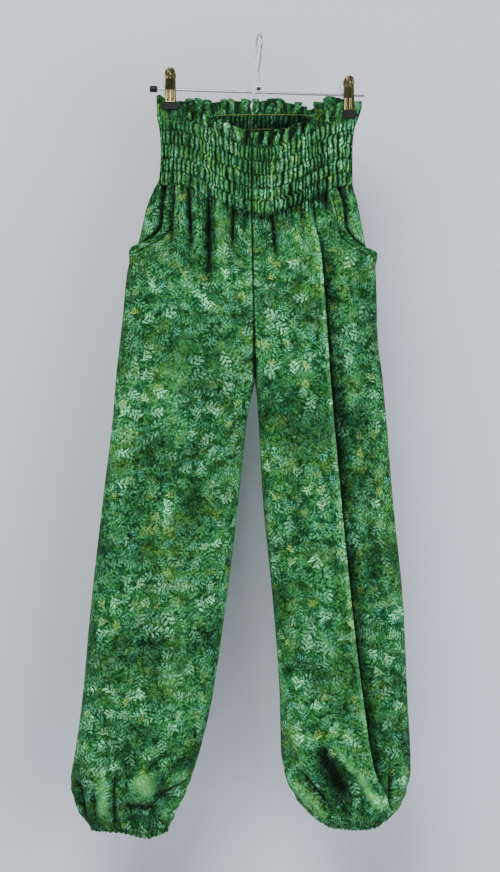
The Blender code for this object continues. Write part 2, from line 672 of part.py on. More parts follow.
def rod(name, route, diameter, sides, material):
    """A round wire along a route, with flat ends."""
    route = [np.array(point, float) for point in route]
    points, faces, runs = [], [], []
    normal = None
    for i, point in enumerate(route):
        before, after = route[max(i - 1, 0)], route[min(i + 1, len(route) - 1)]
        along = (after - before) / np.linalg.norm(after - before)
        guess = normal if normal is not None else np.array([0.0, 1.0, 0.0])
        if abs(guess @ along) > 0.9:
            guess = np.array([1.0, 0.0, 0.0])
        normal = guess - along * (guess @ along)
        normal /= np.linalg.norm(normal)
        cross = np.cross(along, normal)
        start = len(points)
        for k in range(sides):
            turn = 2 * math.pi * k / sides
            points.append(point + diameter / 2 * (normal * math.cos(turn) + cross * math.sin(turn)))
        runs.append(list(range(start, start + sides)))
    for upper, lower in zip(runs, runs[1:]):
        for k in range(sides):
            n = (k + 1) % sides
            faces.append((upper[k], upper[n], lower[n], lower[k]))
    faces.append(tuple(runs[0]))
    faces.append(tuple(reversed(runs[-1])))
    return mesh_object(name, points, faces, material)


def hook_route():
    """Down from the tip behind the rail, over it, and down in front to the shank."""
    radius = RAIL_DIAMETER / 2 + HOOK_WIRE / 2
    centre = -RAIL_DIAMETER / 2
    route = [(-5.6, radius - 0.5, -26.0)]
    for degrees in range(0, 181, 18):
        turn = math.radians(degrees)
        y = radius * math.cos(turn)
        route.append((-0.26 * y, y, centre + radius * math.sin(turn)))
    route += [(3.4, -13.0, -21.0), (2.6, -10.2, -30.0), (1.2, -5.2, -39.5), (0.2, -1.4, -45.5),
              (-0.2, -0.2, -50.0), (-0.6, 0.0, -60.0), (-0.6, 0.0, BRIDGE_TOP - 1.6)]
    return route


def strip_loop(name, outline, thickness, width, material, holes=()):
    """A bent flat strip: an outline in XZ given thickness, extruded along Y, with round holes."""
    outline = np.array(outline, float)
    run = np.gradient(outline, axis=0)
    run /= np.linalg.norm(run, axis=1, keepdims=True)
    side = np.stack([-run[:, 1], run[:, 0]], axis=-1) * thickness / 2
    ring = np.concatenate([outline + side, (outline - side)[::-1]])
    count = len(ring)
    points = [(x, y, z) for y in (-width / 2, width / 2) for x, z in ring]
    half = count // 2
    faces = []
    for k in range(count):
        n = (k + 1) % count
        faces.append((k, n, n + count, k + count))
    for k in range(half - 1):
        quad = (k, k + 1, count - 2 - k, count - 1 - k)
        faces.append(quad)
        faces.append(tuple(number + count for number in reversed(quad)))
    obj = mesh_object(name, points, faces, material)
    for number, (start, end, diameter) in enumerate(holes):
        cutter = rod(f"{name}_hole_{number}", (start, end), diameter, 12, material)
        cutter.hide_render = True
        cutter.display_type = "WIRE"
        cut = obj.modifiers.new("hole", "BOOLEAN")
        cut.object = cutter
    return obj


def bridge_outline():
    """An upside-down U with rounded shoulders."""
    half = BRIDGE_WIDTH / 2
    middle = -0.6
    radius = 3.2
    outline = [(middle - half, BRIDGE_FOOT)]
    for degrees in (180, 150, 120, 90):
        turn = math.radians(degrees)
        outline.append((middle - half + radius + radius * math.cos(turn),
                        BRIDGE_TOP - radius + radius * math.sin(turn)))
    for degrees in (90, 60, 30, 0):
        turn = math.radians(degrees)
        outline.append((middle + half - radius + radius * math.cos(turn),
                        BRIDGE_TOP - radius + radius * math.sin(turn)))
    outline.append((middle + half, BRIDGE_FOOT))
    return outline


# A clip's jaw: distance down from its top, half-width, and distance out from the middle plane.
JAW = (
    ("down", 0.0, 1.0, 3.5, 8.0, 12.5, 30.0, CLIP_LENGTH - 0.4),
    ("half", 1.8, 4.6, 7.0, 7.8, 7.2, 7.8, 8.1),
    ("out", 9.4, 9.2, 8.6, 7.5, 6.3, 3.6, 4.3))
FLUTES = (0.0, 0.0, 1.0, 0.0, 1.0, 0.0, 0.0)     # height of the ribs across a jaw


def clip(side, brass, rubber, steel):
    """A spring clip: two fluted jaws, their rubber pads and the wire spring between them."""
    middle, top = CLIP_X[side], CLIP_TOP[side]
    width, thick, tall = PAD_SIZE[side]
    downs, halves, outs = (np.array(column[1:]) for column in JAW)
    for name, outward in (("front", -1), ("back", 1)):
        outer_rows, inner_rows = [], []
        for down, half, out in zip(downs, halves, outs):
            x = middle + half * np.linspace(-1, 1, len(FLUTES))
            ribs = np.array(FLUTES) * (0.9 if down > 12 else 0.0)
            z = np.full(len(x), top - down)
            inner_rows.append(np.stack([x, outward * np.full(len(x), out), z], axis=-1))
            outer_rows.append(np.stack([x, outward * (out + JAW_PLATE + ribs), z], axis=-1))
        wall(f"clip_{side}_{name}_jaw", outer_rows, inner_rows, brass)
        pad(f"clip_{side}_{name}_pad", middle, outward, top - CLIP_LENGTH, width, thick, tall, rubber)
    ear = 5.2 if side == "left" else 2.8
    edge = middle - CLIP_BODY / 2
    rod(f"clip_{side}_spring",
        [(edge + 4, -2.6, top - 7), (edge + 0.5, -2.6, top - 6.2), (edge - ear + 1.4, -2.6, top - 7.6),
         (edge - ear, -2.6, top - 11), (edge - ear + 0.8, -2.6, top - 16), (edge - 1.6, -2.6, top - 23),
         (edge + 0.6, -2.6, top - 26.5), (edge + 4, -2.6, top - 28)],
        SPRING_WIRE, 8, steel)


def pad(name, middle, outward, top, width, thick, tall, material):
    """A rubber pad with rounded ends."""
    mesh = bpy.data.meshes.new(name)
    bm = bmesh.new()
    bmesh.ops.create_cube(bm, size=1)
    bmesh.ops.scale(bm, vec=(width * MM, thick * MM, tall * MM), verts=bm.verts)
    upright = [edge for edge in bm.edges
               if abs(edge.verts[0].co.x - edge.verts[1].co.x) < 1e-6
               and abs(edge.verts[0].co.z - edge.verts[1].co.z) < 1e-6]
    bmesh.ops.bevel(bm, geom=upright, offset=3.2 * MM, segments=3, profile=0.5, affect="EDGES", material=-1)
    bm.to_mesh(mesh)
    bm.free()
    mesh.materials.append(material)
    obj = bpy.data.objects.new(name, mesh)
    obj.location = (middle * MM, outward * (PAD_FACE + thick / 2) * MM, (top - tall / 2) * MM)
    bpy.context.scene.collection.objects.link(obj)
    return obj


def end_cap(material):
    """The black drum that closes the bar's right end, just clear of it."""
    diameter, length = END_CAP
    start = np.array(BAR_RIGHT_END)
    along = np.array(BAR_LEFT_END) - start
    along /= np.linalg.norm(along)
    rod("hanger_end_cap", [start - along * length, start - along * SEAM_GAP], diameter, 16, material)


def hanger(brass, rubber, chrome, black):
    rod("hanger_hook", hook_route(), HOOK_WIRE, 8, chrome)
    rod("hanger_bar", [BAR_RIGHT_END, BAR_LEFT_END], BAR_DIAMETER, 14, chrome)
    end_cap(black)
    bar_start, bar_end = np.array(BAR_RIGHT_END), np.array(BAR_LEFT_END)
    strip_loop("hanger_bridge", bridge_outline(), *BRIDGE_STRIP, chrome,
               holes=((bar_start, bar_end, BAR_DIAMETER + 2 * SEAM_GAP),
                      ((-0.6, 0, BRIDGE_TOP + 3), (-0.6, 0, BRIDGE_TOP - 3), HOOK_WIRE + 2 * SEAM_GAP)))
    diameter, height = SWIVEL
    top = BRIDGE_TOP - 1.6 - SEAM_GAP
    rod("hanger_swivel", [(-0.6, 0, top), (-0.6, 0, top - height)], diameter, 14, black)
    for side in ("right", "left"):
        clip(side, brass, rubber, chrome)


def main():
    for obj in list(bpy.data.objects):
        bpy.data.objects.remove(obj, do_unlink=True)
    cotton = finish("printed cotton", 0.05, 0.17, 0.07, 0.85)
    inside_cotton = finish("printed cotton in shade", 0.03, 0.12, 0.05, 0.9)
    brass = finish("antique brass", 0.30, 0.26, 0.14, 0.3, 1.0)
    rubber = finish("black rubber", 0.01, 0.01, 0.012, 0.6)
    chrome = finish("chromed steel", 0.55, 0.57, 0.58, 0.2, 1.0)
    black = finish("black plastic", 0.012, 0.012, 0.014, 0.4)
    for side in ("right", "left"):
        for face in ("front", "back"):
            smocked_panel(side, face, cotton)
            leg_panel(side, face, cotton)
        pocket_facing(side, inside_cotton)
        pocket_band(side, cotton)
        ankle_casing(side, cotton)
    hanger(brass, rubber, chrome, black)


main()
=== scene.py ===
# Harem pants on a clip hanger: printed cloth, smocking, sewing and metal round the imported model.
# Sizes are in millimetres, turned to metres as each mesh is finished. X runs to the wearer's left,
# Y to the back and Z up, from the point where the hook bears on its rail.

import math
from functools import partial

import bmesh
import bpy
import numpy as np
from mathutils import Matrix, Vector


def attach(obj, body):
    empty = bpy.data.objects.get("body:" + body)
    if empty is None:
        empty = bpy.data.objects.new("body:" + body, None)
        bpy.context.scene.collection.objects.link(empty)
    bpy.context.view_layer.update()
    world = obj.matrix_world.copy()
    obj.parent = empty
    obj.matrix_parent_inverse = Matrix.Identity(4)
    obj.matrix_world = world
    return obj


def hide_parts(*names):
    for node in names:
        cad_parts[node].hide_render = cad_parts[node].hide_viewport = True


mm = 0.001
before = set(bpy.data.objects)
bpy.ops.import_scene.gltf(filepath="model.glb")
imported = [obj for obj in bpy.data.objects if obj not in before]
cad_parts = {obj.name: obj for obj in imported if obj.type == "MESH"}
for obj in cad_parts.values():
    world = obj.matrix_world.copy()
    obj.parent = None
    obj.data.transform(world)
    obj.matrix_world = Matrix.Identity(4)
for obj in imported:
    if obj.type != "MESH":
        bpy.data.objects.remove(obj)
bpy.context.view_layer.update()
print("stage: packed model loaded")

sides = ("right", "left")
outwards = {"front": -1, "back": 1}


def table(columns, *rows):
    # rows of numbers as named columns, in falling order of the first
    values = np.array(sorted(rows, key=lambda row: -row[0]), float)
    return dict(zip(columns.split(), values.T))


smocking = {
    "topEdge": -92.0,          # the frill's edge beside the clips
    "frill": 22.0,             # from the edge to the first row of elastic
    "rows": 6,
    "rowPitch": 19.6,
    "puckerPitch": 5.8,
    "puckerHeight": 4.5,
    "puckerSize": (0.86, 0.36),      # of the height, and how much that varies
    "stray": (0.66, 0.27, 0.42),     # of the puckers, in puckers: slowly, quickly and row by row
    "fineGather": (2.9, 0.9),        # pitch and height of the gathers right at the elastic
    "elasticWidth": 0.13,            # of each row's pinch, in rows
    "elasticDepth": 0.7,
    "drawnIn": 2.0,                  # from the smooth form
    "runOut": (34.0, 14.0),          # how far the puckers reach below the last row, and its variation
    # painted shade in the valleys, its unevenness and along the elastic; painted highlight on the crests
    "shade": {"valley": 0.95, "uneven": 0.35, "elastic": 0.45, "crest": 0.42},
    "gatherRatio": 1.9,        # cloth width before it was gathered, to its width now
    "ruffleWave": 17.0,
    "ruffleDepth": 6.0,
    "centreSeam": -10.0,
    "seamStrip": 9.0,          # nearly flat strip beside the front seam
    "facets": {"front": (232, 120), "back": (196, 96)},
}
smocking["bottom"] = smocking["topEdge"] - smocking["frill"] - smocking["rowPitch"] * (smocking["rows"] - 1)

hang = {
    "sag": {"front": 48.0, "back": -5.0},      # of the waist's edge between the clips
    "sagCentre": 4.0,
    "sagHalfSpan": 124.0,
    "sagEnds": -440.0,
    "clips": {"right": -124.0, "left": 125.7},
    "clipHold": (13.0, 24.0),  # from a clip's middle, where the cloth is flat and where it is free again
    "clipFoot": (-116.0, -134.0),
    "legsBegin": (-330.0, -430.0),
    "crotch": -482.0,
    "crotchCurve": 75.0,
    "seatDepth": 40.0,
    "legBottom": {"right": -1104.5, "left": -1095.5},
    "seamGap": 0.3,
    "cloth": 0.6,              # thickness drawn for the cotton
    "columnCrowd": 0.45,       # how much a panel's columns draw together at its edges
    "legFacets": {"right": (144, 196), "left": (188, 196), "back": (104, 150)},
}

# How far each seam pulls in the cloth beside it, and how deep
seams = {
    "hip": -210.0,             # above it the side seam is sewn in with the smocking
    "side": (3.0, 0.2),
    "centre": (2.6, 2.4),
    "leg": (8.0, 0.9),         # here the share of the relief that it flattens
    "stiff": 7.0,              # cloth that the centre seam keeps from moving sideways
}

# Places where the frill's edge stands higher or lower
edgeLifts = {
    "front": table("x half lift", (-140, 9, 9.0)),
    "back": table("x half lift", (-140, 9, 9.0), (-92, 16, 3.0), (52, 10, -4.0), (71, 7, -15.0),
                  (106, 14, 6.0)),
}

# Side outline and depth of each leg; above the crotch the inner edge is the centre seam
legs = {
    "right": table(
        "z outer inner front back",
        (-80, -144.0, -10.0, 30, 24), (-114, -143.0, -10.0, 30, 24), (-131, -139.6, -10.0, 30, 24),
        (-160, -137.6, -10.0, 30, 24), (-200, -139.8, -10.0, 30, 24), (-214, -146.4, -10.0, 33, 27),
        (-242, -157.6, -9.6, 35, 30), (-270, -164.0, -9.2, 37, 33), (-291, -169.5, -8.9, 38, 35),
        (-302, -176.4, -8.7, 39, 36), (-335, -185.0, -8.2, 40, 38), (-400, -191.5, -7.0, 40, 38),
        (-482, -200.6, -6.0, 40, 39), (-500, -202.0, -9.0, 39, 38), (-531, -204.4, -15.8, 37, 37),
        (-650, -218.6, -28.4, 35, 35), (-800, -235.6, -46.8, 35, 35), (-930, -247.6, -66.0, 38, 37),
        (-1000, -257.0, -82.5, 43, 42), (-1045, -263.8, -96.5, 46, 45), (-1072, -259.6, -106.5, 41, 41),
        (-1095, -245.0, -119.0, 27, 28), (-1105, -237.0, -125.6, 18, 19)),
    "left": table(
        "z outer inner front back",
        (-80, 144.0, -10.0, 30, 24), (-97, 144.0, -10.0, 30, 24), (-118, 138.6, -10.0, 30, 24),
        (-130, 134.0, -10.0, 30, 24), (-160, 131.0, -10.0, 30, 24), (-205, 131.0, -10.0, 33, 27),
        (-237, 138.6, -9.6, 35, 30), (-282, 146.9, -9.0, 37, 34), (-297, 150.0, -8.8, 38, 36),
        (-306, 159.6, -8.7, 39, 36), (-335, 163.6, -8.2, 40, 38), (-424, 166.2, -6.8, 40, 38),
        (-482, 173.2, -6.0, 40, 39), (-500, 174.8, -3.6, 39, 38), (-531, 177.8, -1.4, 37, 37),
        (-650, 187.6, 5.4, 35, 35), (-800, 202.2, 20.0, 35, 35), (-930, 208.0, 29.0, 38, 37),
        (-1000, 211.8, 30.6, 43, 42), (-1022, 212.2, 33.8, 45, 44), (-1045, 210.0, 39.5, 46, 45),
        (-1068, 203.0, 51.0, 44, 43), (-1083, 194.0, 64.0, 39, 38), (-1096, 180.0, 79.5, 31, 31)),
}

# Depth of the waist and hips: half-depth at the sides, what the middle stands out in front and
# behind, how much of the width that takes, and how square the sides are
hips = table(
    "z flat front back spread edge",
    (-80, 1.9, 22, 6, 0.72, 10), (-119, 2.0, 24, 8, 0.74, 10), (-136, 5.0, 24, 10, 0.84, 8),
    (-160, 10.0, 21, 12, 0.94, 6), (-190, 17.0, 15, 10, 1.00, 4.5), (-212, 21.0, 12, 8, 1.00, 4.0),
    (-250, 27.0, 10, 7, 1.00, 3.2), (-300, 33.0, 7, 5, 1.00, 2.6), (-475, 36.0, 4, 3, 1.00, 2.4))

# Mouth of each slash pocket, and the stitched inner edge of the band round it
pocketMouths = {
    "right": table("z x", (-212, -127.6), (-240, -131.5), (-267, -133.4), (-279, -140.0),
                   (-289, -155.0), (-297.2, -179.8)),
    "left": table("z x", (-212, 108.0), (-240, 116.2), (-270, 119.0), (-284, 126.8),
                  (-296, 143.0), (-304.2, 164.6)),
}
bandEdges = {
    "right": table("z x", (-212, -117.5), (-252, -122.5), (-270, -122.0), (-279, -124.5),
                   (-289, -133.5), (-297.2, -146.0), (-302, -157.0), (-306, -167.5)),
    "left": table("z x", (-212, 96.5), (-254, 105.0), (-272, 107.5), (-284, 111.5), (-296, 122.0),
                  (-304.2, 134.0), (-309, 142.5), (-313, 151.5)),
}
pockets = {
    "depth": 34.0,             # of the pouch below the mouth's corner
    "reach": 20.0,             # of the pouch behind the front panel
    "gape": 6.5,               # from the front panel to the facing at the mouth
    "pouchGape": 14.0,         # the same inside the pouch, and at its lower end
    "footGape": 3.6,
    "behindFront": 1.2,        # from the front panel to where the pouch ends against it
    "cornerFlare": 6.0,
    "flareSpan": 24.0,
    "bandRise": 1.5,           # the turned band's height over the panel
    "bandCloth": 0.5,
    "stitchLine": 0.8,         # its place across the band
    "facets": {"facing": (48, 60), "band": (20, 90)},
}

# Pleats below the smocking and soft folds down the legs: from (x0, z0) to (x1, z1), half-width, depth
# and how sharp the hollow is, from 0 for a soft trough to 1 for a crease
folds = {
    ("front", "right"): table(
        "x0 z0 x1 z1 width depth sharp",
        (-35, -204, -38, -300, 5.0, 9.0, 1), (-70, -204, -70, -366, 7.5, 12.0, 1),
        (-99, -204, -93, -320, 5.5, 11.0, 1), (-51, -206, -54, -330, 11.0, -5.5, 0),
        (-84, -210, -83, -262, 4.0, 5.0, 1), (-20, -212, -22, -268, 4.0, 5.5, 1),
        (-85, -214, -84, -340, 9.0, -3.5, 0), (-110, -208, -108, -330, 8.0, -3.0, 0),
        (-119, -214, -124, -330, 5.0, 7.0, 1), (-60, -420, -112, -760, 17.0, 7.0, 0),
        (-150, -560, -158, -960, 18.0, 7.0, 0), (-100, -380, -140, -700, 20.0, -5.0, 0),
        (-190, -500, -214, -860, 13.0, -4.0, 0), (-110, -800, -128, -985, 18.0, -5.0, 0)),
    ("front", "left"): table(
        "x0 z0 x1 z1 width depth sharp",
        (17, -208, 24, -300, 5.5, 9.0, 1), (3, -212, 4, -262, 4.0, 5.0, 1),
        (40, -208, 43, -262, 4.0, 5.5, 1), (58, -206, 62, -286, 4.5, 6.5, 1),
        (75, -206, 80, -262, 5.0, 8.0, 1), (91, -204, 95, -252, 4.5, 7.0, 1),
        (30, -214, 34, -320, 9.0, -4.0, 0), (50, -212, 54, -300, 8.0, -3.0, 0),
        (28, -420, 62, -800, 17.0, 6.5, 0), (144, -480, 172, -900, 17.0, 9.0, 0),
        (54, -400, 84, -700, 16.0, -4.0, 0), (84, -760, 104, -960, 16.0, -4.0, 0)),
    ("back", "right"): table(
        "x0 z0 x1 z1 width depth sharp",
        (-28, -206, -30, -300, 5.5, 6.0, 1), (-52, -206, -55, -330, 6.0, 7.0, 1),
        (-80, -206, -84, -290, 5.5, 6.0, 1), (-106, -206, -114, -340, 6.0, 7.0, 1),
        (-124, -212, -136, -300, 5.0, 4.0, 1), (-66, -380, -106, -760, 16.0, 7.0, 0),
        (-140, -430, -170, -950, 18.0, 8.0, 0)),
    ("back", "left"): table(
        "x0 z0 x1 z1 width depth sharp",
        (12, -206, 14, -300, 5.5, 6.0, 1), (36, -206, 40, -330, 6.0, 7.0, 1),
        (62, -206, 66, -290, 5.5, 6.0, 1), (88, -206, 94, -330, 6.0, 7.0, 1),
        (112, -210, 120, -300, 5.0, 4.0, 1), (46, -380, 72, -760, 16.0, 7.0, 0),
        (112, -430, 148, -950, 18.0, 8.0, 0)),
}

# Creases where the cloth bags over the ankles and breaks: ends, half-width, depth; a negative depth
# is a ridge
creases = {
    ("front", "right"): table(
        "x0 z0 x1 z1 width depth",
        (-172, -1026, -146, -1046, 18.0, -13.0), (-213, -1030, -211, -1080, 11.0, -8.5),
        (-232, -1038, -232, -1081, 7.0, -5.0), (-180, -990, -184, -1028, 10.0, 6.0),
        (-137, -1048, -116, -1065, 12.0, 8.0), (-199, -1026, -200, -1103, 4.5, 9.0),
        (-190, -1073, -134, -1080, 11.0, 10.0), (-184, -1092, -132, -1096, 9.0, 7.0),
        (-250, -1038, -241, -1088, 4.5, 7.0), (-227, -1040, -226, -1091, 5.0, 5.0),
        (-154, -1018, -128, -995, 4.0, 6.0), (-147, -1026, -121, -1005, 7.0, -4.0),
        (-125, -1042, -98, -1018, 6.0, -4.5), (-127, -1063, -108, -1040, 8.0, 7.0),
        (-182, -1056, -180, -1101, 4.0, 4.0), (-163, -1060, -166, -1101, 4.0, 5.0),
        (-146, -1065, -151, -1101, 4.0, 4.0), (-237, -975, -230, -1028, 9.0, -4.0),
        (-215, -951, -211, -1009, 9.0, 4.0), (-192, -980, -172, -1018, 10.0, 4.0)),
    ("front", "left"): table(
        "x0 z0 x1 z1 width depth",
        (44, -974, 92, -979, 9.0, -7.5), (51, -962, 90, -966, 4.5, 5.0),
        (92, -979, 132, -1021, 9.0, -9.0), (132, -1021, 166, -1072, 8.0, -9.0),
        (78, -984, 120, -1058, 16.0, 12.0), (103, -1044, 124, -1088, 9.0, 7.0),
        (44, -1034, 98, -1088, 8.0, -6.0), (58, -1024, 94, -1067, 5.0, 8.0),
        (58, -999, 82, -1030, 13.0, -5.0), (181, -1013, 183, -1081, 5.0, 9.0),
        (194, -999, 197, -1054, 8.0, -4.0), (142, -1054, 144, -1093, 4.5, 5.0),
        (70, -1065, 83, -1088, 4.0, 4.0), (35, -999, 60, -1011, 8.0, 4.0),
        (84, -351, 164, -354, 2.2, 1.6), (156, -980, 161, -1028, 6.0, 4.0)),
    ("back", "right"): table(
        "x0 z0 x1 z1 width depth",
        (-196, -1000, -200, -1098, 6.0, 6.0), (-160, -1000, -164, -1098, 6.0, 6.0),
        (-232, -1010, -222, -1090, 6.0, 5.0), (-140, -1010, -128, -1050, 6.0, 4.0)),
    ("back", "left"): table(
        "x0 z0 x1 z1 width depth",
        (110, -985, 112, -1090, 6.0, 6.0), (146, -1000, 142, -1090, 6.0, 6.0),
        (76, -1000, 92, -1076, 6.0, 5.0), (176, -1000, 166, -1076, 6.0, 4.0)),
}

# The long knife fold down the left front: its fold edge, how far it stands out, and its lap
knifeFold = table(
    "z x height lap",
    (-230, 70, 0, 0), (-262, 76, 7, 3), (-302, 81, 14, 6), (-376, 86, 16, 7), (-470, 92, 16, 7),
    (-585, 102, 16, 7), (-701, 113, 15, 7), (-799, 123, 15, 7), (-930, 139, 15, 7),
    (-1015, 153, 13, 6), (-1045, 167, 10, 5), (-1070, 176, 6, 3), (-1090, 174, 0, 0), (-1096, 165, 0, 0))
knifeHalfWidth = 18.0

ankles = {
    "gatherPitch": 5.0,
    "gatherHeight": 2.9,
    "gatherReach": 30.0,
    "gatheredWidth": 118.0,    # of each face's cloth at the casing
    "drawnIn": 0.6,
    "flatEnd": 11.0,           # above the casing, where the leg's own folds have run out
    "tuck": 2.4,
    "casingCloth": 0.9,
    "rings": {
        "right": table("z outer inner depth hang", (-1104.5, -237.4, -125.2, 18.0, 0),
                       (-1106.8, -235.5, -127.0, 15.5, 4), (-1111.0, -234.6, -128.0, 15.0, 9)),
        "left": table("z outer inner depth hang", (-1095.5, 180.8, 79.0, 31.0, 0),
                      (-1098.4, 173.0, 90.0, 28.0, 0), (-1103.0, 170.0, 92.0, 28.0, 1)),
    },
    "hang": {"right": (-156, 24), "left": (140, 24)},    # where the casing's edge droops, and how widely
    "facets": (288, 12),
}


def read(rows, column, z):
    # a smooth curve through the table that never overshoots its rows
    x, y = -rows["z"], rows[column]
    steps = np.diff(x)
    slopes = np.diff(y) / steps
    tangents = np.zeros(len(x))
    tangents[0], tangents[-1] = slopes[0], slopes[-1]
    sameWay = slopes[:-1] * slopes[1:] > 0
    before, after = slopes[:-1][sameWay], slopes[1:][sameWay]
    tangents[1:-1][sameWay] = 2 * before * after / (before + after)
    where = np.clip(-np.asarray(z, float), x[0], x[-1])
    i = np.clip(np.searchsorted(x, where, side="right") - 1, 0, len(steps) - 1)
    h = steps[i]
    t = (where - x[i]) / h
    return ((1 + 2 * t) * (1 - t) ** 2 * y[i] + t * (1 - t) ** 2 * h * tangents[i]
            + t * t * (3 - 2 * t) * y[i + 1] + t * t * (t - 1) * h * tangents[i + 1])


def ramp(value, start, end):
    t = np.clip((value - start) / (end - start), 0, 1)
    return t * t * (3 - 2 * t)


def uneven(number, seed):
    # a repeatable value from -1 to 1 for each whole number
    return 2 * np.mod(np.sin(number * 12.9898 + seed * 78.233) * 43758.5453, 1) - 1


def drift(x, seed):
    # a slow, uneven wander along a line, about -1 to 1 over a few units
    return (np.sin(x * 1.13 + seed * 2.3) + np.sin(x * 1.71 + seed * 5.1)
            + 0.7 * np.sin(x * 2.93 + seed * 1.7)) / 2.2


def panelSeed(side, face):
    return 2 * (side == "left") + (face == "back")


def sag(x, z, face):
    arch = np.clip(1 - ((x - hang["sagCentre"]) / hang["sagHalfSpan"]) ** 2, 0, 1) ** 2
    return hang["sag"][face] * arch * (1 - ramp(z, smocking["topEdge"] - 60, hang["sagEnds"]))


def legEdge(side, column, z):
    # the outline of a leg, which tucks in unevenly above the casing
    tuck = ankles["tuck"] * ramp(z, -1022, -1066) * (1 - ramp(z, -1086, -1098))
    seed = 5 * (side == "left") + 2 * (column == "outer")
    inwards = 1 if (column == "outer") == (side == "right") else -1
    return read(legs[side], column, z) + inwards * tuck * (0.5 + 0.8 * drift(z / 8.5, seed))


def sideEdge(side, face, z):
    # the side seam, where the front panel flares at the pocket's corner
    outer = legEdge(side, "outer", z)
    if face == "back":
        return outer
    corner = pocketMouths[side]["z"][-1]
    flare = 1 - ramp(np.abs(z - corner), 0, pockets["flareSpan"])
    return outer + np.sign(outer) * pockets["cornerFlare"] * flare


def hipDepth(x, z, face):
    right, left = sideEdge("right", face, z), sideEdge("left", face, z)
    across = np.clip(np.abs((2 * x - left - right) / (left - right)), 0, 1)
    middle = np.clip(1 - (across / read(hips, "spread", z)) ** 2, 0, 1) ** 2
    side = np.sqrt(1 - across ** read(hips, "edge", z))
    return read(hips, "flat", z) * side + read(hips, face, z) * middle


def seatDepth(z):
    turned = np.clip((hang["crotch"] + hang["crotchCurve"] - z) / hang["crotchCurve"], 0, 1)
    return hang["seatDepth"] * np.sqrt(1 - turned ** 2)


def oval(across):
    # height of an oval, a little squarer than an ellipse, from -1 to 1 across it
    return (1 - np.abs(across) ** 2.4) ** (1 / 2.1)


def legDepth(side, x, z, face):
    outer, inner = sideEdge(side, face, z), legEdge(side, "inner", z)
    across = np.clip((2 * x - outer - inner) / (outer - inner), -1, 1)
    crown, seam = read(legs[side], face, z), seatDepth(z)
    return np.where(across > 0, crown * oval(across), seam + (crown - seam) * oval(across))


def smoothDepth(side, x, z, face):
    # from the middle plane to the cloth, before any relief
    legness = ramp(z, *hang["legsBegin"])
    return hipDepth(x, z, face) * (1 - legness) + legDepth(side, x, z, face) * legness


def clipPinch(x, z):
    # 1 where a clip holds the cloth flat
    held = sum(1 - ramp(np.abs(x - clip), *hang["clipHold"]) for clip in hang["clips"].values())
    return held * (1 - ramp(z, *hang["clipFoot"]))


def foldHollow(side, face, x, z):
    # depth of the folds and creases, painted shade in their hollows and painted highlight on the ridges
    total = np.zeros(np.broadcast(x, z).shape)
    shaded, lit = total.copy(), total.copy()
    for x0, z0, x1, z1, width, depth, sharp in zip(*folds[(face, side)].values()):
        along = (z0 - z) / (z0 - z1)
        off = (x - (x0 + (x1 - x0) * along)) / width
        fade = ramp(along, -0.12, 0.15) * (1 - ramp(along, 0.5, 1.15))
        pleat = np.exp(-1.5 * (np.sqrt(off ** 2 + 0.03) - 0.173))
        trough = np.exp(-off ** 2) * (1 - sharp) + pleat * sharp
        total = total + depth * fade * trough
        if depth > 0:
            dark = fade * trough ** 1.5 * min(1, depth / 9) * (0.35 + 0.65 * sharp)
            shaded = np.maximum(shaded, dark)
        else:
            lit = np.maximum(lit, fade * trough * min(1, -depth / 8))
    for x0, z0, x1, z1, width, depth in zip(*creases[(face, side)].values()):
        length = math.hypot(x1 - x0, z1 - z0)
        alongX, alongZ = (x1 - x0) / length, (z1 - z0) / length
        along = (x - x0) * alongX + (z - z0) * alongZ
        off = ((x - x0) * alongZ - (z - z0) * alongX) / width
        rise, fall = ramp(along, -0.25 * length, 0.25 * length), ramp(along, 0.75 * length, 1.25 * length)
        fade = rise * (1 - fall)
        sharp = depth > 0 and width < 7
        trough = np.exp(-1.3 * (np.sqrt(off ** 2 + 0.06) - 0.245)) if sharp else np.exp(-off ** 2)
        total = total + depth * fade * trough
        if depth < 0:
            lit = np.maximum(lit, fade * trough * min(1.7, -depth / 5.5))
        elif sharp:
            shaded = np.maximum(shaded, fade * trough ** 1.5 * min(0.9, depth / 8))
        else:
            shaded = np.maximum(shaded, fade * trough * min(0.9, depth / 12))
    return total, shaded - 0.5 * lit * (1 - shaded)


def billow(x, z, seed):
    # the soft unevenness of cloth that hangs
    swell = 0.6 + 0.4 * drift(z / 120, seed + 7)
    return (1.5 * drift(x / 34 + 0.35 * drift(z / 160, seed), seed + 3) * swell
            + 0.6 * drift(x / 13 + 0.8 * drift(z / 60, seed + 1), seed + 5) * drift(z / 45, seed + 2))


def seamPull(offSeam, reach):
    return 1 - ramp(offSeam, 0.0, reach)


def deepened(hollow, shade):
    # hollows take the painted shade; crests keep their painted highlight where there is next to none
    return np.where(shade > 0.02, np.maximum(hollow, shade), hollow)


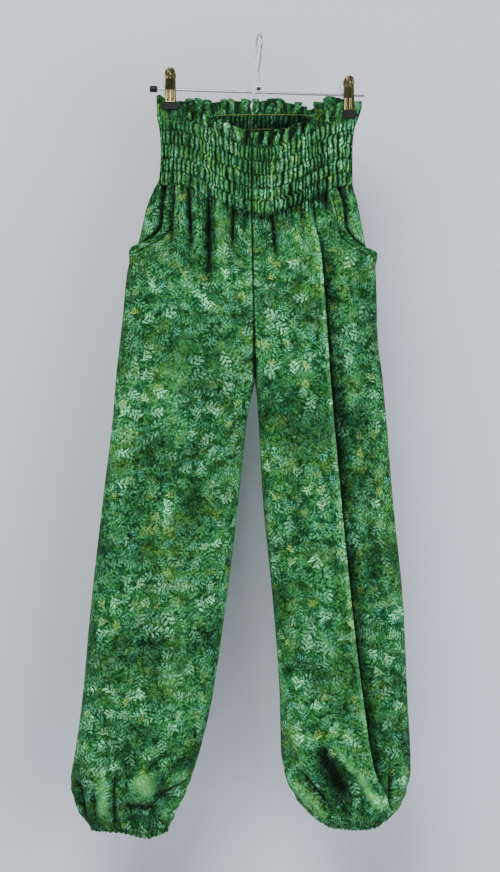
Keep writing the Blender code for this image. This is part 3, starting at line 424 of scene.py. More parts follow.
def puckers(side, face, x, z):
    # height and painted shade of the smocked relief: one ridge after another, pinched at each row of elastic
    seed = 1 + panelSeed(side, face)
    q = np.abs(x - smocking["centreSeam"])
    down = smocking["topEdge"] - smocking["frill"] - z
    row = np.clip(down / smocking["rowPitch"], -1, smocking["rows"] - 1)
    nearest = np.floor(row + 0.5)
    step = ramp(row - nearest, -0.14, 0.14)
    slowly, quickly, rowByRow = smocking["stray"]

    def phaseOf(number):
        return (q / smocking["puckerPitch"] + slowly * drift(q / 17 + number * 3.7, seed + 4)
                + quickly * drift(q / 6.3 - number * 1.9, seed + 9) + rowByRow * uneven(number, seed))

    # each row has its own puckers, which change over at the elastic
    phase = phaseOf(nearest - 1) * (1 - step) + phaseOf(nearest) * step
    phase = phase + 0.07 * np.sin(6.0 * row + 5 * drift(q / 9, seed))
    ridge = np.abs(np.cos(math.pi * phase)) ** 0.75
    size, varied = smocking["puckerSize"]
    size = size + varied * uneven(np.round(phase) + 31 * np.where(row < nearest, nearest - 1, nearest), seed)
    puff = np.abs(np.sin(math.pi * row)) ** 0.4 * (row > 0)
    finePitch, fineHeight = smocking["fineGather"]
    fine = np.abs(np.cos(math.pi * q / finePitch + 2 * drift(q / 8, seed + 2))) * fineHeight
    height = smocking["puckerHeight"] * ridge * size * (0.2 + 0.8 * puff) + fine * (1 - puff)
    strip = 1.0
    if (side, face) == ("left", "front"):
        strip = 1 - 0.65 * seamPull(q - smocking["seamStrip"] + 3, 3)
    reach, varied = smocking["runOut"]
    gone = ramp(z, smocking["bottom"], smocking["bottom"] - reach - varied * drift(q / 7, seed + 6))
    height = height * strip * (1 - gone)
    tight = 1 - ramp(np.abs(row - nearest), 0, smocking["elasticWidth"])
    height = height - smocking["drawnIn"] * (1 - ramp(z, smocking["bottom"], smocking["bottom"] - 40))
    height = height - smocking["elasticDepth"] * tight * (1 - gone)
    # painted shade in the valleys and along the elastic, painted highlight on the crests
    shade = smocking["shade"]
    varied = shade["valley"] + shade["uneven"] * uneven(np.round(phase + 0.5), seed + 3)
    valley = (1 - np.abs(np.cos(math.pi * phase))) ** 1.05 * strip * varied
    thread = shade["elastic"] * tight * (0.25 + 0.75 * np.abs(drift(q / 4, seed + 8)))
    crests = shade["crest"] * ridge ** 3 * (1 - tight) * (row > 0)
    return height, np.clip(valley + thread - crests, -0.5, 1) * (1 - gone)


def relief(side, face, x, z):
    # how far the cloth stands off its smooth form, and the painted shade there
    gathered, valley = puckers(side, face, x, z)
    loose = 1 - 0.72 * clipPinch(x, z)
    leg = ramp(z, smocking["bottom"] - 6, smocking["bottom"] - 120)
    hollow, shaded = foldHollow(side, face, x, z)
    gather = valley * loose
    paintedShade = np.where(shaded > 0.05, np.maximum(gather, shaded), gather + shaded)
    return gathered * loose + billow(x, z, 2 + panelSeed(side, face)) * leg - hollow, paintedShade


def ankleGathers(side, face, share):
    # the gathers into an ankle's casing, from 0 between them to about 1 on top
    seed = 3 + panelSeed(side, face)
    waves = ankles["gatheredWidth"] / ankles["gatherPitch"]
    phase = share * waves + 0.8 * drift(share * 9, seed) + 0.3 * drift(share * 34, seed + 2)
    return np.abs(np.cos(math.pi * phase)) ** 0.8 * (0.72 + 0.45 * uneven(np.round(phase), seed))


def panelForm(side, face, x, z):
    # the smooth form, before relief: depth from the middle plane, and the sag
    depth = smoothDepth(side, x, z, face)
    y = outwards[face] * (hang["seamGap"] / 2 + np.maximum(depth, 0))
    return np.stack([x, y, z - sag(x, z, face)], axis=-1)


def knifeShift(x, z):
    # up to the fold's edge, over it, and back out of the lap under it; then the painted shadow in the lap
    # and the painted highlight on the edge
    beyond = x - read(knifeFold, "x", z)
    s = np.clip(beyond / knifeHalfWidth, -1, 1)
    tall = read(knifeFold, "height", z)
    crest = ramp(s, -1.0, -0.1) * (1 - ramp(s, -0.03, 0.16))
    under = ramp(s, -0.03, 0.2) * (1 - ramp(s, 0.3, 1.0))
    over, forwards = 0.7 * crest * read(knifeFold, "lap", z), -tall * (0.5 * crest - 0.42 * under)
    # painted shadow, nearly black in the lap and dim for some way beyond it
    paintedDimZone = ramp(beyond, -0.5, 3.6) * (1 - ramp(beyond, 9, 36))
    share = np.clip(tall / 15, 0, 1)
    shadow = share * np.maximum(0.86 * under ** 1.4, 0.56 * paintedDimZone)
    return np.stack([over, forwards, 0 * s], axis=-1), shadow, 0.4 * share * ramp(crest, 0.7, 1.0)


def clampedForm(side, face, x, z, edges):
    outer, inner = edges(side, face, z)
    return panelForm(side, face, np.clip(x, np.minimum(outer, inner), np.maximum(outer, inner)), z)


def panelNormal(side, face, x, z, edges):
    # square to the smooth form, on the side that is worn outwards
    across = clampedForm(side, face, x + 0.4, z, edges) - clampedForm(side, face, x - 0.4, z, edges)
    down = clampedForm(side, face, x, z - 0.5, edges) - clampedForm(side, face, x, z + 0.5, edges)
    normal = np.cross(across, down)
    normal /= np.maximum(np.linalg.norm(normal, axis=-1, keepdims=True), 1e-9)
    return normal * np.sign(normal[..., 1:2].mean() * outwards[face])


def ankleRelief(side, face, x, z, share, height, hollow):
    # the leg's relief runs out towards the casing, and gathers take its place
    bottom = hang["legBottom"][side]
    height = height * ramp(z, bottom, bottom + ankles["flatEnd"])
    gathered = 1 - ramp(z, bottom, bottom + ankles["gatherReach"] * (1 + 0.45 * drift(x / 9, 11)))
    gathers = ankleGathers(side, face, share)
    height = height + (ankles["gatherHeight"] * gathers - ankles["drawnIn"]) * gathered ** 1.5
    # painted shade between the gathers
    between = np.clip(1 - gathers, 0, 1) ** 1.5 * gathered ** 1.5 * 0.9
    return height, deepened(hollow, between)


def seamRelief(z, offSide, offInner, height):
    # seams pull the cloth in; gives the height beside them and the painted shade in their grooves
    aboveCrotch, aboveHip = z > hang["crotch"], z > seams["hip"]
    reach, depth = seams["side"]
    sideSeam = seamPull(offSide, reach) * aboveHip
    height = height * (1 - sideSeam) - depth * sideSeam
    reach, depth = seams["centre"]
    closed = seamPull(offInner, reach) * aboveCrotch
    height = height * (1 - closed) - depth * closed
    reach, flattened = seams["leg"]
    legSeams = np.maximum(seamPull(offInner, reach) * ~aboveCrotch, seamPull(offSide, reach) * ~aboveHip)
    # painted shade along the centre seam, widening down to the crotch where the legs meet
    groove = seamPull(offInner, 2.2 + 3.2 * ramp(z, -370, -480)) * aboveCrotch
    return height * (1 - flattened * legSeams), np.maximum(groove, 0.6 * sideSeam)


def frillMove(side, face, x, risen, free):
    # how the loose edge above the first row moves in x, y and z, and its painted shade
    seed = 5 + panelSeed(side, face)
    q = x / smocking["ruffleWave"]
    turn = 2 * math.pi * (q + 0.3 * drift(q * 1.3, seed)) + 1.6 * risen * drift(q * 0.8, seed + 1)
    swell = 0.85 + 0.35 * drift(q * 0.9, seed + 3)
    depth = smocking["ruffleDepth"] * swell * risen ** 0.8 * free
    crumple = drift(x / 2.7 + 1.8 * risen * drift(x / 11, seed), seed + 6) * (0.35 + 0.65 * free)
    wave = 0.5 + 0.95 * np.sin(turn) + 0.2 * np.sin(2.3 * turn + seed)
    forwards = outwards[face] * (depth * wave + 1.5 * crumple * risen)
    sideways = 0.8 * depth * np.sin(2 * turn + 0.6) * risen
    # soft lobes, which roll over at the hem
    lift = risen * free * (1.8 * np.sin(turn + 1.2) + 0.9 * np.sin(2.3 * turn))
    lift = lift - 3.4 * np.clip(np.sin(turn + 0.3), 0, 1) ** 1.5 * risen ** 3 * free
    for middle, half, more in zip(*edgeLifts[face].values()):
        lift = lift + risen ** 1.5 * more * np.exp(-((x - middle) / half) ** 2)
    # painted shade between the lobes and in the crumples, painted highlight where the hem rolls out
    between = np.clip(0.55 - 0.75 * np.sin(turn - 1.3 * risen), 0, 1) * free
    crumpled = np.clip(-1.3 * crumple - 0.1, 0, 1)
    rolled = np.clip(crumple + 0.4 * np.sin(turn), 0, 1)
    shade = np.clip(0.75 * between + 0.75 * crumpled - 0.6 * rolled, -0.6, 1)
    return np.stack([sideways, forwards, lift], axis=-1), shade


def panelPoint(side, face, x, z, edges):
    # a point of the cloth, at x on a level of the panel, and its painted shade
    outer, inner = edges(side, face, z)
    offSide, offInner = np.abs(x - outer), np.abs(inner - x)
    # beside the centre seam the cloth moves only front to back, so that its two halves stay joined
    beside = (seamPull(offInner, seams["stiff"]) * (z > hang["crotch"]))[..., None]
    normal = panelNormal(side, face, x, z, edges)
    normal = normal * np.concatenate([1 - beside, beside ** 0, 1 - beside], axis=-1)
    height, hollow = relief(side, face, x, z)
    share = offSide / np.maximum(offSide + offInner, 0.1)
    height, hollow = ankleRelief(side, face, x, z, share, height, hollow)
    height, grooves = seamRelief(z, offSide, offInner, height)
    # above the first row the puckers run out into the frill
    risen = np.clip((z - smocking["topEdge"] + smocking["frill"]) / smocking["frill"], 0, 1)
    form = clampedForm(side, face, x, z, edges)
    height = np.maximum(height * (1 - 0.8 * risen ** 0.7), -0.6 * np.abs(form[..., 1]))
    point = form + normal * height[..., None]
    if (face, side) == ("front", "left"):
        shift, shadow, paintedEdgeLight = knifeShift(x, z)
        point = point + shift
        # painted shadow in and beyond the fold's lap, painted highlight on its edge
        hollow = np.where(shadow > 0.02, np.maximum(hollow, shadow), hollow - paintedEdgeLight)
    move, shade = frillMove(side, face, x, risen, (1 - clipPinch(x, z)) * ramp(offSide, 0, 8))
    mixed = ramp(risen, 0.0, 0.3)
    hollow = np.where(risen > 0, shade * mixed + hollow * (1 - mixed), hollow)
    return point + move, deepened(hollow, grooves)


def linked(name, data):
    thing = bpy.data.objects.new(name, data)
    bpy.context.scene.collection.objects.link(thing)
    return thing


def clothSheet(name, columns, rows, place):
    # a flat grid carried to its form point by point; place gives the points, the cloth coordinates and
    # each point's painted shade, negative for a painted highlight, kept as its hollow attribute
    bm = bmesh.new()
    bm.loops.layers.uv.new("cloth")
    bmesh.ops.create_grid(bm, x_segments=columns, y_segments=rows, size=0.5, calc_uvs=True)
    for edge in bm.edges:
        edge.smooth = not edge.is_boundary
    mesh = bpy.data.meshes.new(name)
    bm.to_mesh(mesh)
    bm.free()
    flat = np.empty(len(mesh.vertices) * 3)
    mesh.vertices.foreach_get("co", flat)
    flat = flat.reshape(rows + 1, columns + 1, 3)
    points, cloth, hollow = place(flat[..., 0] + 0.5, 0.5 - flat[..., 1])
    mesh.attributes.new("hollow", "FLOAT", "POINT").data.foreach_set("value", hollow.ravel())
    mesh.vertices.foreach_set("co", (points * mm).ravel())
    corners = np.empty(len(mesh.loops), np.int32)
    mesh.loops.foreach_get("vertex_index", corners)
    mesh.uv_layers["cloth"].data.foreach_set("uv", (cloth.reshape(-1, 2)[corners] * mm).ravel())
    mesh.update()
    mesh.shade_smooth()
    return linked(name, mesh)


def faceOutwards(mesh, outward):
    # an open sheet's normals are turned to the side that is worn outwards, to the front or back
    normals = np.empty(len(mesh.polygons) * 3)
    mesh.polygons.foreach_get("normal", normals)
    areas = np.empty(len(mesh.polygons))
    mesh.polygons.foreach_get("area", areas)
    if (normals[1::3] * areas).sum() * outward < 0:
        mesh.flip_normals()


def thicken(piece, thickness):
    wall = piece.modifiers.new("thickness", "SOLIDIFY")
    wall.thickness = thickness * mm
    wall.offset = -1.0


def clothPiece(name, facets, face, thickness, place):
    piece = clothSheet(name, *facets, place)
    faceOutwards(piece.data, outwards[face])
    thicken(piece, thickness)
    return piece


def clothCoordinates(points, centreColumn, gather, shift):
    # lengths along the cloth itself, across from a middle thread and down from the top edge
    steps = np.linalg.norm(np.diff(points, axis=1), axis=-1)
    across = np.concatenate([np.zeros((len(points), 1)), np.cumsum(steps, axis=1)], axis=1)
    across = (across - across[:, centreColumn:centreColumn + 1]) * gather
    fall = np.linalg.norm(np.diff(points[:, centreColumn], axis=0), axis=-1)
    down = np.concatenate([[0], np.cumsum(fall)])[:, None] + np.zeros(points.shape[:2])
    return np.stack([across + shift[0], shift[1] - down], axis=-1)


def smockEdges(side, face, z):
    # the smocking's front and back both end at the side seam, without the pocket's flare
    return sideEdge(side, "back", z), smocking["centreSeam"] + 0 * z


def legEdges(side, face, z):
    # the front panel is cut away along the pocket's mouth
    outer = sideEdge(side, face, z)
    mouth = pocketMouths[side]
    if face == "front":
        outer = np.where(z >= mouth["z"][-1], read(mouth, "x", z), outer)
    return outer, legEdge(side, "inner", z)


def spreadColumns(u, side, face, z, edges):
    # the x of each column, closer together towards both edges; a cut edge moves only what is near it
    crowd = hang["columnCrowd"]
    share = u * (1 - crowd) + crowd * (1 - np.cos(math.pi * u)) / 2
    cut, inner = edges(side, face, z)
    seam = legEdge(side, "outer", z)
    return seam + (inner - seam) * share + (cut - seam) * (1 - share) ** 3


# Where each piece lies on the printed cloth
clothShifts = {("front", "right"): (170, 1310), ("front", "left"): (540, 1170),
               ("back", "right"): (930, 1430), ("back", "left"): (1360, 1255),
               ("casing", "right"): (220, 640), ("casing", "left"): (220, 640),
               ("facing", "right"): (310, 905), ("facing", "left"): (760, 905),
               ("band", "right"): (1630, 420), ("band", "left"): (1710, 420)}


def smockedPanel(side, face):
    def place(u, v):
        z = smocking["topEdge"] + (smocking["bottom"] - smocking["topEdge"]) * v
        x = spreadColumns(u, side, face, z, smockEdges)
        points, hollow = panelPoint(side, face, x, z, smockEdges)
        form = panelForm(side, face, x, z)
        middle, shift = u.shape[1] // 2, clothShifts[(face, side)]
        return points, clothCoordinates(form, middle, smocking["gatherRatio"], shift), hollow

    name = f"smocked{face.title()}{side.title()}"
    return clothPiece(name, smocking["facets"][face], face, hang["cloth"], place)


# Levels of a leg's rows, crowded at the pocket and at the ankle
legRows = table("z share", (-212, 0.0), (-280, 0.18), (-308, 0.30), (-420, 0.42), (-960, 0.72), (-1060, 0.86),
                (-1105, 1.0))


def legPanel(side, face):
    top, bottom = smocking["bottom"], hang["legBottom"][side]

    def place(u, v):
        z = np.interp(v, legRows["share"], legRows["z"])
        z = top + (z - top) * (bottom - top) / (legRows["z"][-1] - top)
        x = spreadColumns(u, side, face, z, legEdges)
        points, hollow = panelPoint(side, face, x, z, legEdges)
        # the print follows the cloth, which is gathered at both ends
        gather = 1 + (smocking["gatherRatio"] - 1) * (1 - ramp(z, top, top - 110))
        gather = gather + 0.7 * (1 - ramp(z, bottom, bottom + 60))
        form = panelForm(side, face, x, z)
        if (face, side) == ("front", "left"):
            form = form + knifeShift(x, z)[0]
        across, down = clothShifts[(face, side)]
        shift = (across, down - (smocking["topEdge"] - top))
        return points, clothCoordinates(form, u.shape[1] // 2, gather, shift), hollow

    facets = hang["legFacets"][side if face == "front" else "back"]
    return clothPiece(f"leg{face.title()}{side.title()}", facets, face, hang["cloth"], place)


def ankleCasing(side):
    # the turned hem with its elastic, all round; its edge crinkles and droops
    rings = ankles["rings"][side]
    lowest, spread = ankles["hang"][side]

    def place(u, v):
        turn = 2 * math.pi * u
        across, ahead = np.cos(turn), np.sin(turn)
        z = rings["z"][0] + (rings["z"][-1] - rings["z"][0]) * v
        outer, inner = read(rings, "outer", z), read(rings, "inner", z)
        middle, half = (outer + inner) / 2, np.abs(outer - inner) / 2
        share = (1 - across * (1 if side == "left" else -1)) / 2
        gathers = np.where(ahead < 0, ankleGathers(side, "front", share), ankleGathers(side, "back", share))
        pinch = 1 - 0.5 * np.exp(-((v - 0.55) / 0.16) ** 2)
        ends = np.abs(ahead)
        height = (ankles["gatherHeight"] * gathers * pinch - ankles["drawnIn"]) * ramp(ends, 0, 0.25)
        height = height + 0.9 * np.cos(turn * 61 + 2 * drift(turn * 3, 4)) * (1 - ramp(ends, 0.1, 0.4))
        x = middle + half * across + across * height
        y = np.sign(ahead) * read(rings, "depth", z) * oval(across) + ahead * height
        droop = -read(rings, "hang", z) * np.exp(-((x - lowest) / spread) ** 2)
        hem = 0.9 * v * np.sin(turn * 47 + 3 * drift(turn * 4, 2))
        # painted shade between the gathers and where the casing is pinched
        hollow = np.clip(1 - gathers, 0, 1) ** 1.5 * 0.9 + 0.3 * (1 - pinch)
        cloth = np.stack([half * 2 * turn * 0.9, -v * 12 + 0 * u], axis=-1) + clothShifts[("casing", side)]
        return np.stack([x, y, z + droop + hem], axis=-1), cloth, hollow

    piece = clothSheet(f"ankleCasing{side.title()}", *ankles["facets"], place)
    mesh = piece.data
    bm = bmesh.new()
    bm.from_mesh(mesh)
    bmesh.ops.remove_doubles(bm, verts=bm.verts, dist=0.00002)
    bmesh.ops.recalc_face_normals(bm, faces=bm.faces)
    bm.to_mesh(mesh)
    bm.free()
    centre = np.mean([vertex.co[:] for vertex in mesh.vertices], axis=0)
    outside = sum((np.array(face.center[:]) - centre) @ np.array(face.normal[:]) for face in mesh.polygons)
    if outside < 0:
        mesh.flip_normals()
    thicken(piece, ankles["casingCloth"])
    return piece


def pocketFacing(side):
    # the pocket's back layer, from the side seam in behind the front panel, where it ends as a pouch
    sign = -1 if side == "right" else 1
    mouth = pocketMouths[side]
    corner = mouth["z"][-1]
    foot = corner - pockets["depth"]

    def place(u, v):
        z = smocking["bottom"] + (foot - smocking["bottom"]) * v
        seam = read(legs[side], "outer", z) - sign * 2.2 * ramp(z, corner + 12, corner - 2)
        reach = read(mouth, "x", np.maximum(z, -270)) - sign * pockets["reach"]
        x = seam + (reach - seam) * u ** 1.4
        offSeam = np.abs(x - seam)
        pastMouth = sign * (read(mouth, "x", z) - x)
        pouch = (pockets["pouchGape"] - pockets["gape"]) * (1 - ramp(z, corner + 16, corner - 2))
        gape = pockets["gape"] * ramp(pastMouth, -12, 0) + pouch * ramp(pastMouth, 0, 16)
        gape = gape + (pockets["footGape"] - gape) * ramp(z, corner - 14, foot)
        front = smoothDepth(side, x, z, "front")
        depth = np.minimum(smoothDepth(side, x, z, "back"), front - gape)
        depth = np.maximum(depth, 2.0 * ramp(offSeam, 0, 5))
        wrinkles = 0.9 * drift(x / 5.5 + 0.4 * drift(z / 20, 3), 4) * ramp(offSeam, 2, 10)
        gathers, hollow = puckers(side, "front", x, z)
        depth = depth + (wrinkles + gathers * ramp(offSeam, 1, 6)) * (depth > 3)
        # the pouch ends against the back of the front panel
        closed = ramp(u, 0.82, 1.0)
        behind = front + relief(side, "front", x, z)[0] - pockets["behindFront"]
        depth = depth * (1 - closed) + behind * closed
        points = np.stack([x, -hang["seamGap"] / 2 - depth, z - sag(x, z, "front")], axis=-1)
        # painted shade in the recess just inside the pocket's mouth
        hollow = np.maximum(hollow, 0.9 * ramp(pastMouth, -13, -2))
        return points, clothCoordinates(points, 0, 1.3, clothShifts[("facing", side)]), hollow

    name = f"pocketFacing{side.title()}"
    return clothPiece(name, pockets["facets"]["facing"], "front", hang["cloth"], place)


def bandPoint(side, share, z, lift):
    # a point on or over the band, at a share of its width from the pocket's mouth
    start, inner = legEdges(side, "front", z)
    x = start + (read(bandEdges[side], "x", z) - start) * share
    point, hollow = panelPoint(side, "front", x, z, legEdges)
    across = panelPoint(side, "front", x + np.sign(inner - start) * 0.5, z, legEdges)[0] - point
    down = panelPoint(side, "front", x, z - 0.4, legEdges)[0] - point
    normal = np.cross(across, down)
    normal /= np.linalg.norm(normal, axis=-1, keepdims=True)
    normal *= -np.sign(normal[..., 1:2])
    return point + normal * lift[..., None], hollow


def pocketBand(side):
    # rolled over at the mouth, with a groove where it is stitched down
    top, foot = smocking["bottom"] - 0.5, bandEdges[side]["z"][-1]

    def place(u, v):
        z = top + (foot - top) * v
        rolled = pockets["bandRise"] * np.sin(np.clip(u / 0.12, 0, 1) * math.pi / 2)
        rolled = rolled * (1 - ramp(u, 0.86, 1.0)) + 0.15
        groove = 0.5 * np.exp(-((u - pockets["stitchLine"]) / 0.05) ** 2)
        points, hollow = bandPoint(side, u, z, rolled - groove)
        # painted shade along the stitched groove, with half the panel's own painted shade
        hollow = np.maximum(hollow * 0.5, 0.9 * np.exp(-((u - 0.82) / 0.06) ** 2))
        return points, clothCoordinates(points, 0, 1.0, clothShifts[("band", side)]), hollow

    name = f"pocketBand{side.title()}"
    return clothPiece(name, pockets["facets"]["band"], "front", pockets["bandCloth"], place)


panels = {}
for side in sides:
    for face in outwards:
        panels[("smocked", face, side)] = smockedPanel(side, face)
        panels[("leg", face, side)] = legPanel(side, face)
    panels[("casing", side)] = ankleCasing(side)
    panels[("facing", side)] = pocketFacing(side)
    panels[("band", side)] = pocketBand(side)
print("stage: cloth made")


sewing = {
    "elastic": 0.7,            # diameter of a shirring thread
    "elasticIn": {"front": 4.3, "back": -2.9},      # from the smooth form to the inside
    "stitch": 2.6,             # length of a stitch on the pocket bands
    "stitchGap": 0.9,
    "stitchThread": 0.45,
    "stitchSink": 0.4,         # of a stitch's ends into the band
}


def tubeAlong(name, runs, diameter, sides):
    # round wires or threads along runs of points, all one mesh
    curve = bpy.data.curves.new(name, "CURVE")
    curve.dimensions = "3D"
    curve.bevel_depth = diameter / 2 * mm
    curve.bevel_resolution = max(0, sides // 2 - 2)
    curve.use_fill_caps = True
    for run in runs:
        spline = curve.splines.new("POLY")
        spline.points.add(len(run) - 1)
        weighted = np.hstack([np.array(run, float) * mm, np.ones((len(run), 1))])
        spline.points.foreach_set("co", weighted.ravel())
        spline.use_smooth = True
    holder = linked(name, curve)
    bpy.context.view_layer.update()
    mesh = bpy.data.meshes.new_from_object(holder.evaluated_get(bpy.context.evaluated_depsgraph_get()))
    bpy.data.objects.remove(holder)
    mesh.name = name
    mesh.shade_smooth()
    return linked(name, mesh)


def roundedRun(points, steps):
    # a smooth run through the points
    points = [np.array(point, float) for point in points]
    points = [2 * points[0] - points[1], *points, 2 * points[-1] - points[-2]]
    run = []
    for a, b, c, d in zip(points, points[1:], points[2:], points[3:]):
        for k in range(steps):
            t = k / steps
            run.append(0.5 * (2 * b + (c - a) * t + (2 * a - 5 * b + 4 * c - d) * t * t
                              + (3 * b - 3 * c + d - a) * t ** 3))
    return [*run, points[-2]]


def elasticThreads(face):
    # the shirring threads that show as rows inside the waist
    runs = []
    for side in sides:
        x = np.linspace(read(legs[side], "outer", -180) * 0.97, smocking["centreSeam"], 120)
        for row in range(smocking["rows"] - 1):
            z = smocking["topEdge"] - smocking["frill"] - smocking["rowPitch"] * row + 0 * x
            points = panelForm(side, face, x, z)
            points[..., 1] += sewing["elasticIn"][face]
            points[..., 2] += 0.3 * np.sin(x * 1.6 + row) + 0.3 * drift(x / 5, row)
            runs.append(points)
    return tubeAlong(f"shirringElastic{face.title()}", runs, sewing["elastic"], 4)


def bandStitches(side):
    # the stitched line along the inner edge of a pocket band
    z = np.linspace(smocking["bottom"] - 1.5, bandEdges[side]["z"][-1] + 1.5, 400)
    line = bandPoint(side, pockets["stitchLine"] + 0 * z, z, 1.0 + 0 * z)[0]
    lengths = np.concatenate([[0], np.cumsum(np.linalg.norm(np.diff(line, axis=0), axis=1))])
    length = sewing["stitch"]
    pitch = length + sewing["stitchGap"]
    runs = []
    for k in range(int(lengths[-1] / pitch)):
        start = k * pitch
        at = np.array([start, start + 0.2, start + length - 0.2, start + length])
        stitch = np.stack([np.interp(at, lengths, line[:, axis]) for axis in range(3)], axis=-1)
        stitch[[0, -1], 1] += sewing["stitchSink"]
        runs.append(stitch)
    return tubeAlong(f"bandStitches{side.title()}", runs, sewing["stitchThread"], 4)


threads = {face: elasticThreads(face) for face in outwards}
stitches = {side: bandStitches(side) for side in sides}
print("stage: sewing made")


hanger = {
    "railDiameter": 25.0,
    "hookWire": 2.6,
    "bar": ((-142.0, 0.0, -75.2), (147.3, 0.0, -84.7)),
    "barDiameter": 3.4,
    "middle": -0.6,            # x of the swivel and the bridge
    "bridgeWidth": 14.4,
    "bridgeCorner": 3.2,
    "bridgeTop": -72.0,
    "bridgeFoot": -84.6,
    "bridgeStrip": (1.2, 7.0),       # thickness and width of the strip it is bent from
    "swivel": (5.6, 2.6),            # diameter and height
    "endCap": (9.2, 11.0),           # diameter and length
}

# The spring clips: plates in millimetres down from the finger end, and pads below them
clips = {
    "top": {"right": -46.9, "left": -58.7},
    "length": 47.6,
    "plate": 1.0,
    "plateDrawn": 0.8,
    "jawFacets": (36, 84),
    "pads": {"right": (23.7, 4.2, 10.2), "left": (20.3, 4.2, 10.8)},
    "padFace": 2.75,           # from the middle plane to a pad
    "tilt": {"right": 2.5, "left": 0.0},
    "springWire": 1.3,
    "ear": {"right": 2.8, "left": 5.2},      # how far the spring stands out beside the jaws
    "coil": (6, 10.0, 1.9),    # turns, length and radius of the coil between the jaws
}
jawShape = {
    "down": (0.0, 0.7, 2.2, 4.5, 8.0, 12.5, 16.0, 30.0, 47.2),
    "half": (1.4, 3.4, 5.6, 7.1, 7.7, 7.0, 7.2, 7.6, 8.0),
    "out": (9.2, 9.3, 9.2, 8.9, 7.7, 6.4, 5.8, 3.8, 4.3),
    # heights of what is pressed into it
    "turnedIn": 2.3, "flute": 1.5, "dome": 1.5, "dimple": 2.2, "waistLine": 0.6,
}


def meshPiece(name, bm, angle=40):
    mesh = bpy.data.meshes.new(name)
    bm.to_mesh(mesh)
    bm.free()
    mesh.shade_smooth()
    mesh.set_sharp_from_angle(angle=math.radians(angle))
    return linked(name, mesh)


def turned(name, profile, foot, along):
    # a part turned round an axis: profile of (radius, height) in millimetres from the foot
    bm = bmesh.new()
    verts = [bm.verts.new((radius * mm, 0, height * mm)) for radius, height in profile]
    edges = [bm.edges.new(pair) for pair in zip(verts, verts[1:])]
    bmesh.ops.spin(bm, geom=verts + edges, cent=(0, 0, 0), axis=(0, 0, 1), angle=2 * math.pi, steps=48,
                   use_merge=True)
    bmesh.ops.remove_doubles(bm, verts=bm.verts, dist=1e-6)
    bmesh.ops.recalc_face_normals(bm, faces=bm.faces)
    turn = Vector(along).to_track_quat("Z", "Y").to_matrix().to_4x4()
    bmesh.ops.transform(bm, matrix=Matrix.Translation(Vector(foot) * mm) @ turn, verts=bm.verts)
    return meshPiece(name, bm)


def sweptLine(line, way):
    # a line of points swept a straight way into a sheet, in millimetres
    bm = bmesh.new()
    verts = [bm.verts.new([part * mm for part in point]) for point in line]
    edges = [bm.edges.new(pair) for pair in zip(verts, verts[1:])]
    swept = bmesh.ops.extrude_edge_only(bm, edges=edges)
    moved = [item for item in swept["geom"] if isinstance(item, bmesh.types.BMVert)]
    bmesh.ops.translate(bm, vec=Vector(way) * mm, verts=moved)
    bmesh.ops.recalc_face_normals(bm, faces=bm.faces)
    return bm


def hangerHook():
    wire = hanger["hookWire"]
    radius = hanger["railDiameter"] / 2 + wire / 2
    centre = -hanger["railDiameter"] / 2
    route = [(-5.6, radius - 0.5, -26.0), (-4.6, radius - 0.1, -19.0)]
    for degrees in range(0, 181, 12):
        turn = math.radians(degrees)
        y = radius * math.cos(turn)
        route.append((-0.26 * y, y, centre + radius * math.sin(turn)))
    route += [(3.4, -13.0, -21.0), (2.6, -10.2, -30.0), (1.2, -5.2, -39.5), (0.2, -1.4, -45.5),
              (-0.2, -0.2, -50.0), (-0.6, 0.0, -60.0), (-0.6, 0.0, hanger["bridgeTop"] - 1.6)]
    return tubeAlong("hookWire", [roundedRun(route, 5)], wire, 16)


def hangerBridge():
    # a strip of steel bent over in an arch, with its feet on the bar
    thickness, width = hanger["bridgeStrip"]
    half, middle, radius = hanger["bridgeWidth"] / 2, hanger["middle"], hanger["bridgeCorner"]
    outline = [(middle - half, hanger["bridgeFoot"])]
    for centre, first in ((middle - half + radius, 180), (middle + half - radius, 90)):
        for degrees in range(first, first - 91, -10):
            turn = math.radians(degrees)
            rise = hanger["bridgeTop"] - radius + radius * math.sin(turn)
            outline.append((centre + radius * math.cos(turn), rise))
    outline.append((middle + half, hanger["bridgeFoot"]))
    bm = sweptLine([(x, -width / 2, z) for x, z in outline], (0, width, 0))
    bmesh.ops.solidify(bm, geom=bm.faces, thickness=thickness * mm)
    bmesh.ops.recalc_face_normals(bm, faces=bm.faces)
    piece = meshPiece("hangerBridge", bm)
    edge = piece.modifiers.new("rounded edges", "BEVEL")
    edge.width, edge.segments, edge.limit_method = 0.25 * mm, 2, "ANGLE"
    return piece


def hangerSwivel():
    diameter, height = hanger["swivel"]
    top = hanger["bridgeTop"] - 1.9
    r = diameter / 2
    profile = [(0, 0), (r * 0.75, 0), (r, 0.4), (r, height - 0.5), (r * 0.86, height), (0, height)]
    return turned("swivelHead", profile, (hanger["middle"], 0, top - height), (0, 0, 1))


def barEndCap():
    diameter, length = hanger["endCap"]
    start, end = (Vector(point) for point in hanger["bar"])
    along = (end - start).normalized()
    r = diameter / 2
    profile = [(0, 0), (r * 0.72, 0), (r * 0.93, 0.35), (r, 1.1), (r, length - 1.6), (r * 0.95, length - 0.8),
               (r * 0.62, length - 0.15), (1.8, length), (0, length)]
    return turned("barEndCap", profile, start - along * length, along)


def clipName(side, outward, part):
    return f"clip{side.title()}{'Front' if outward < 0 else 'Back'}{part}"


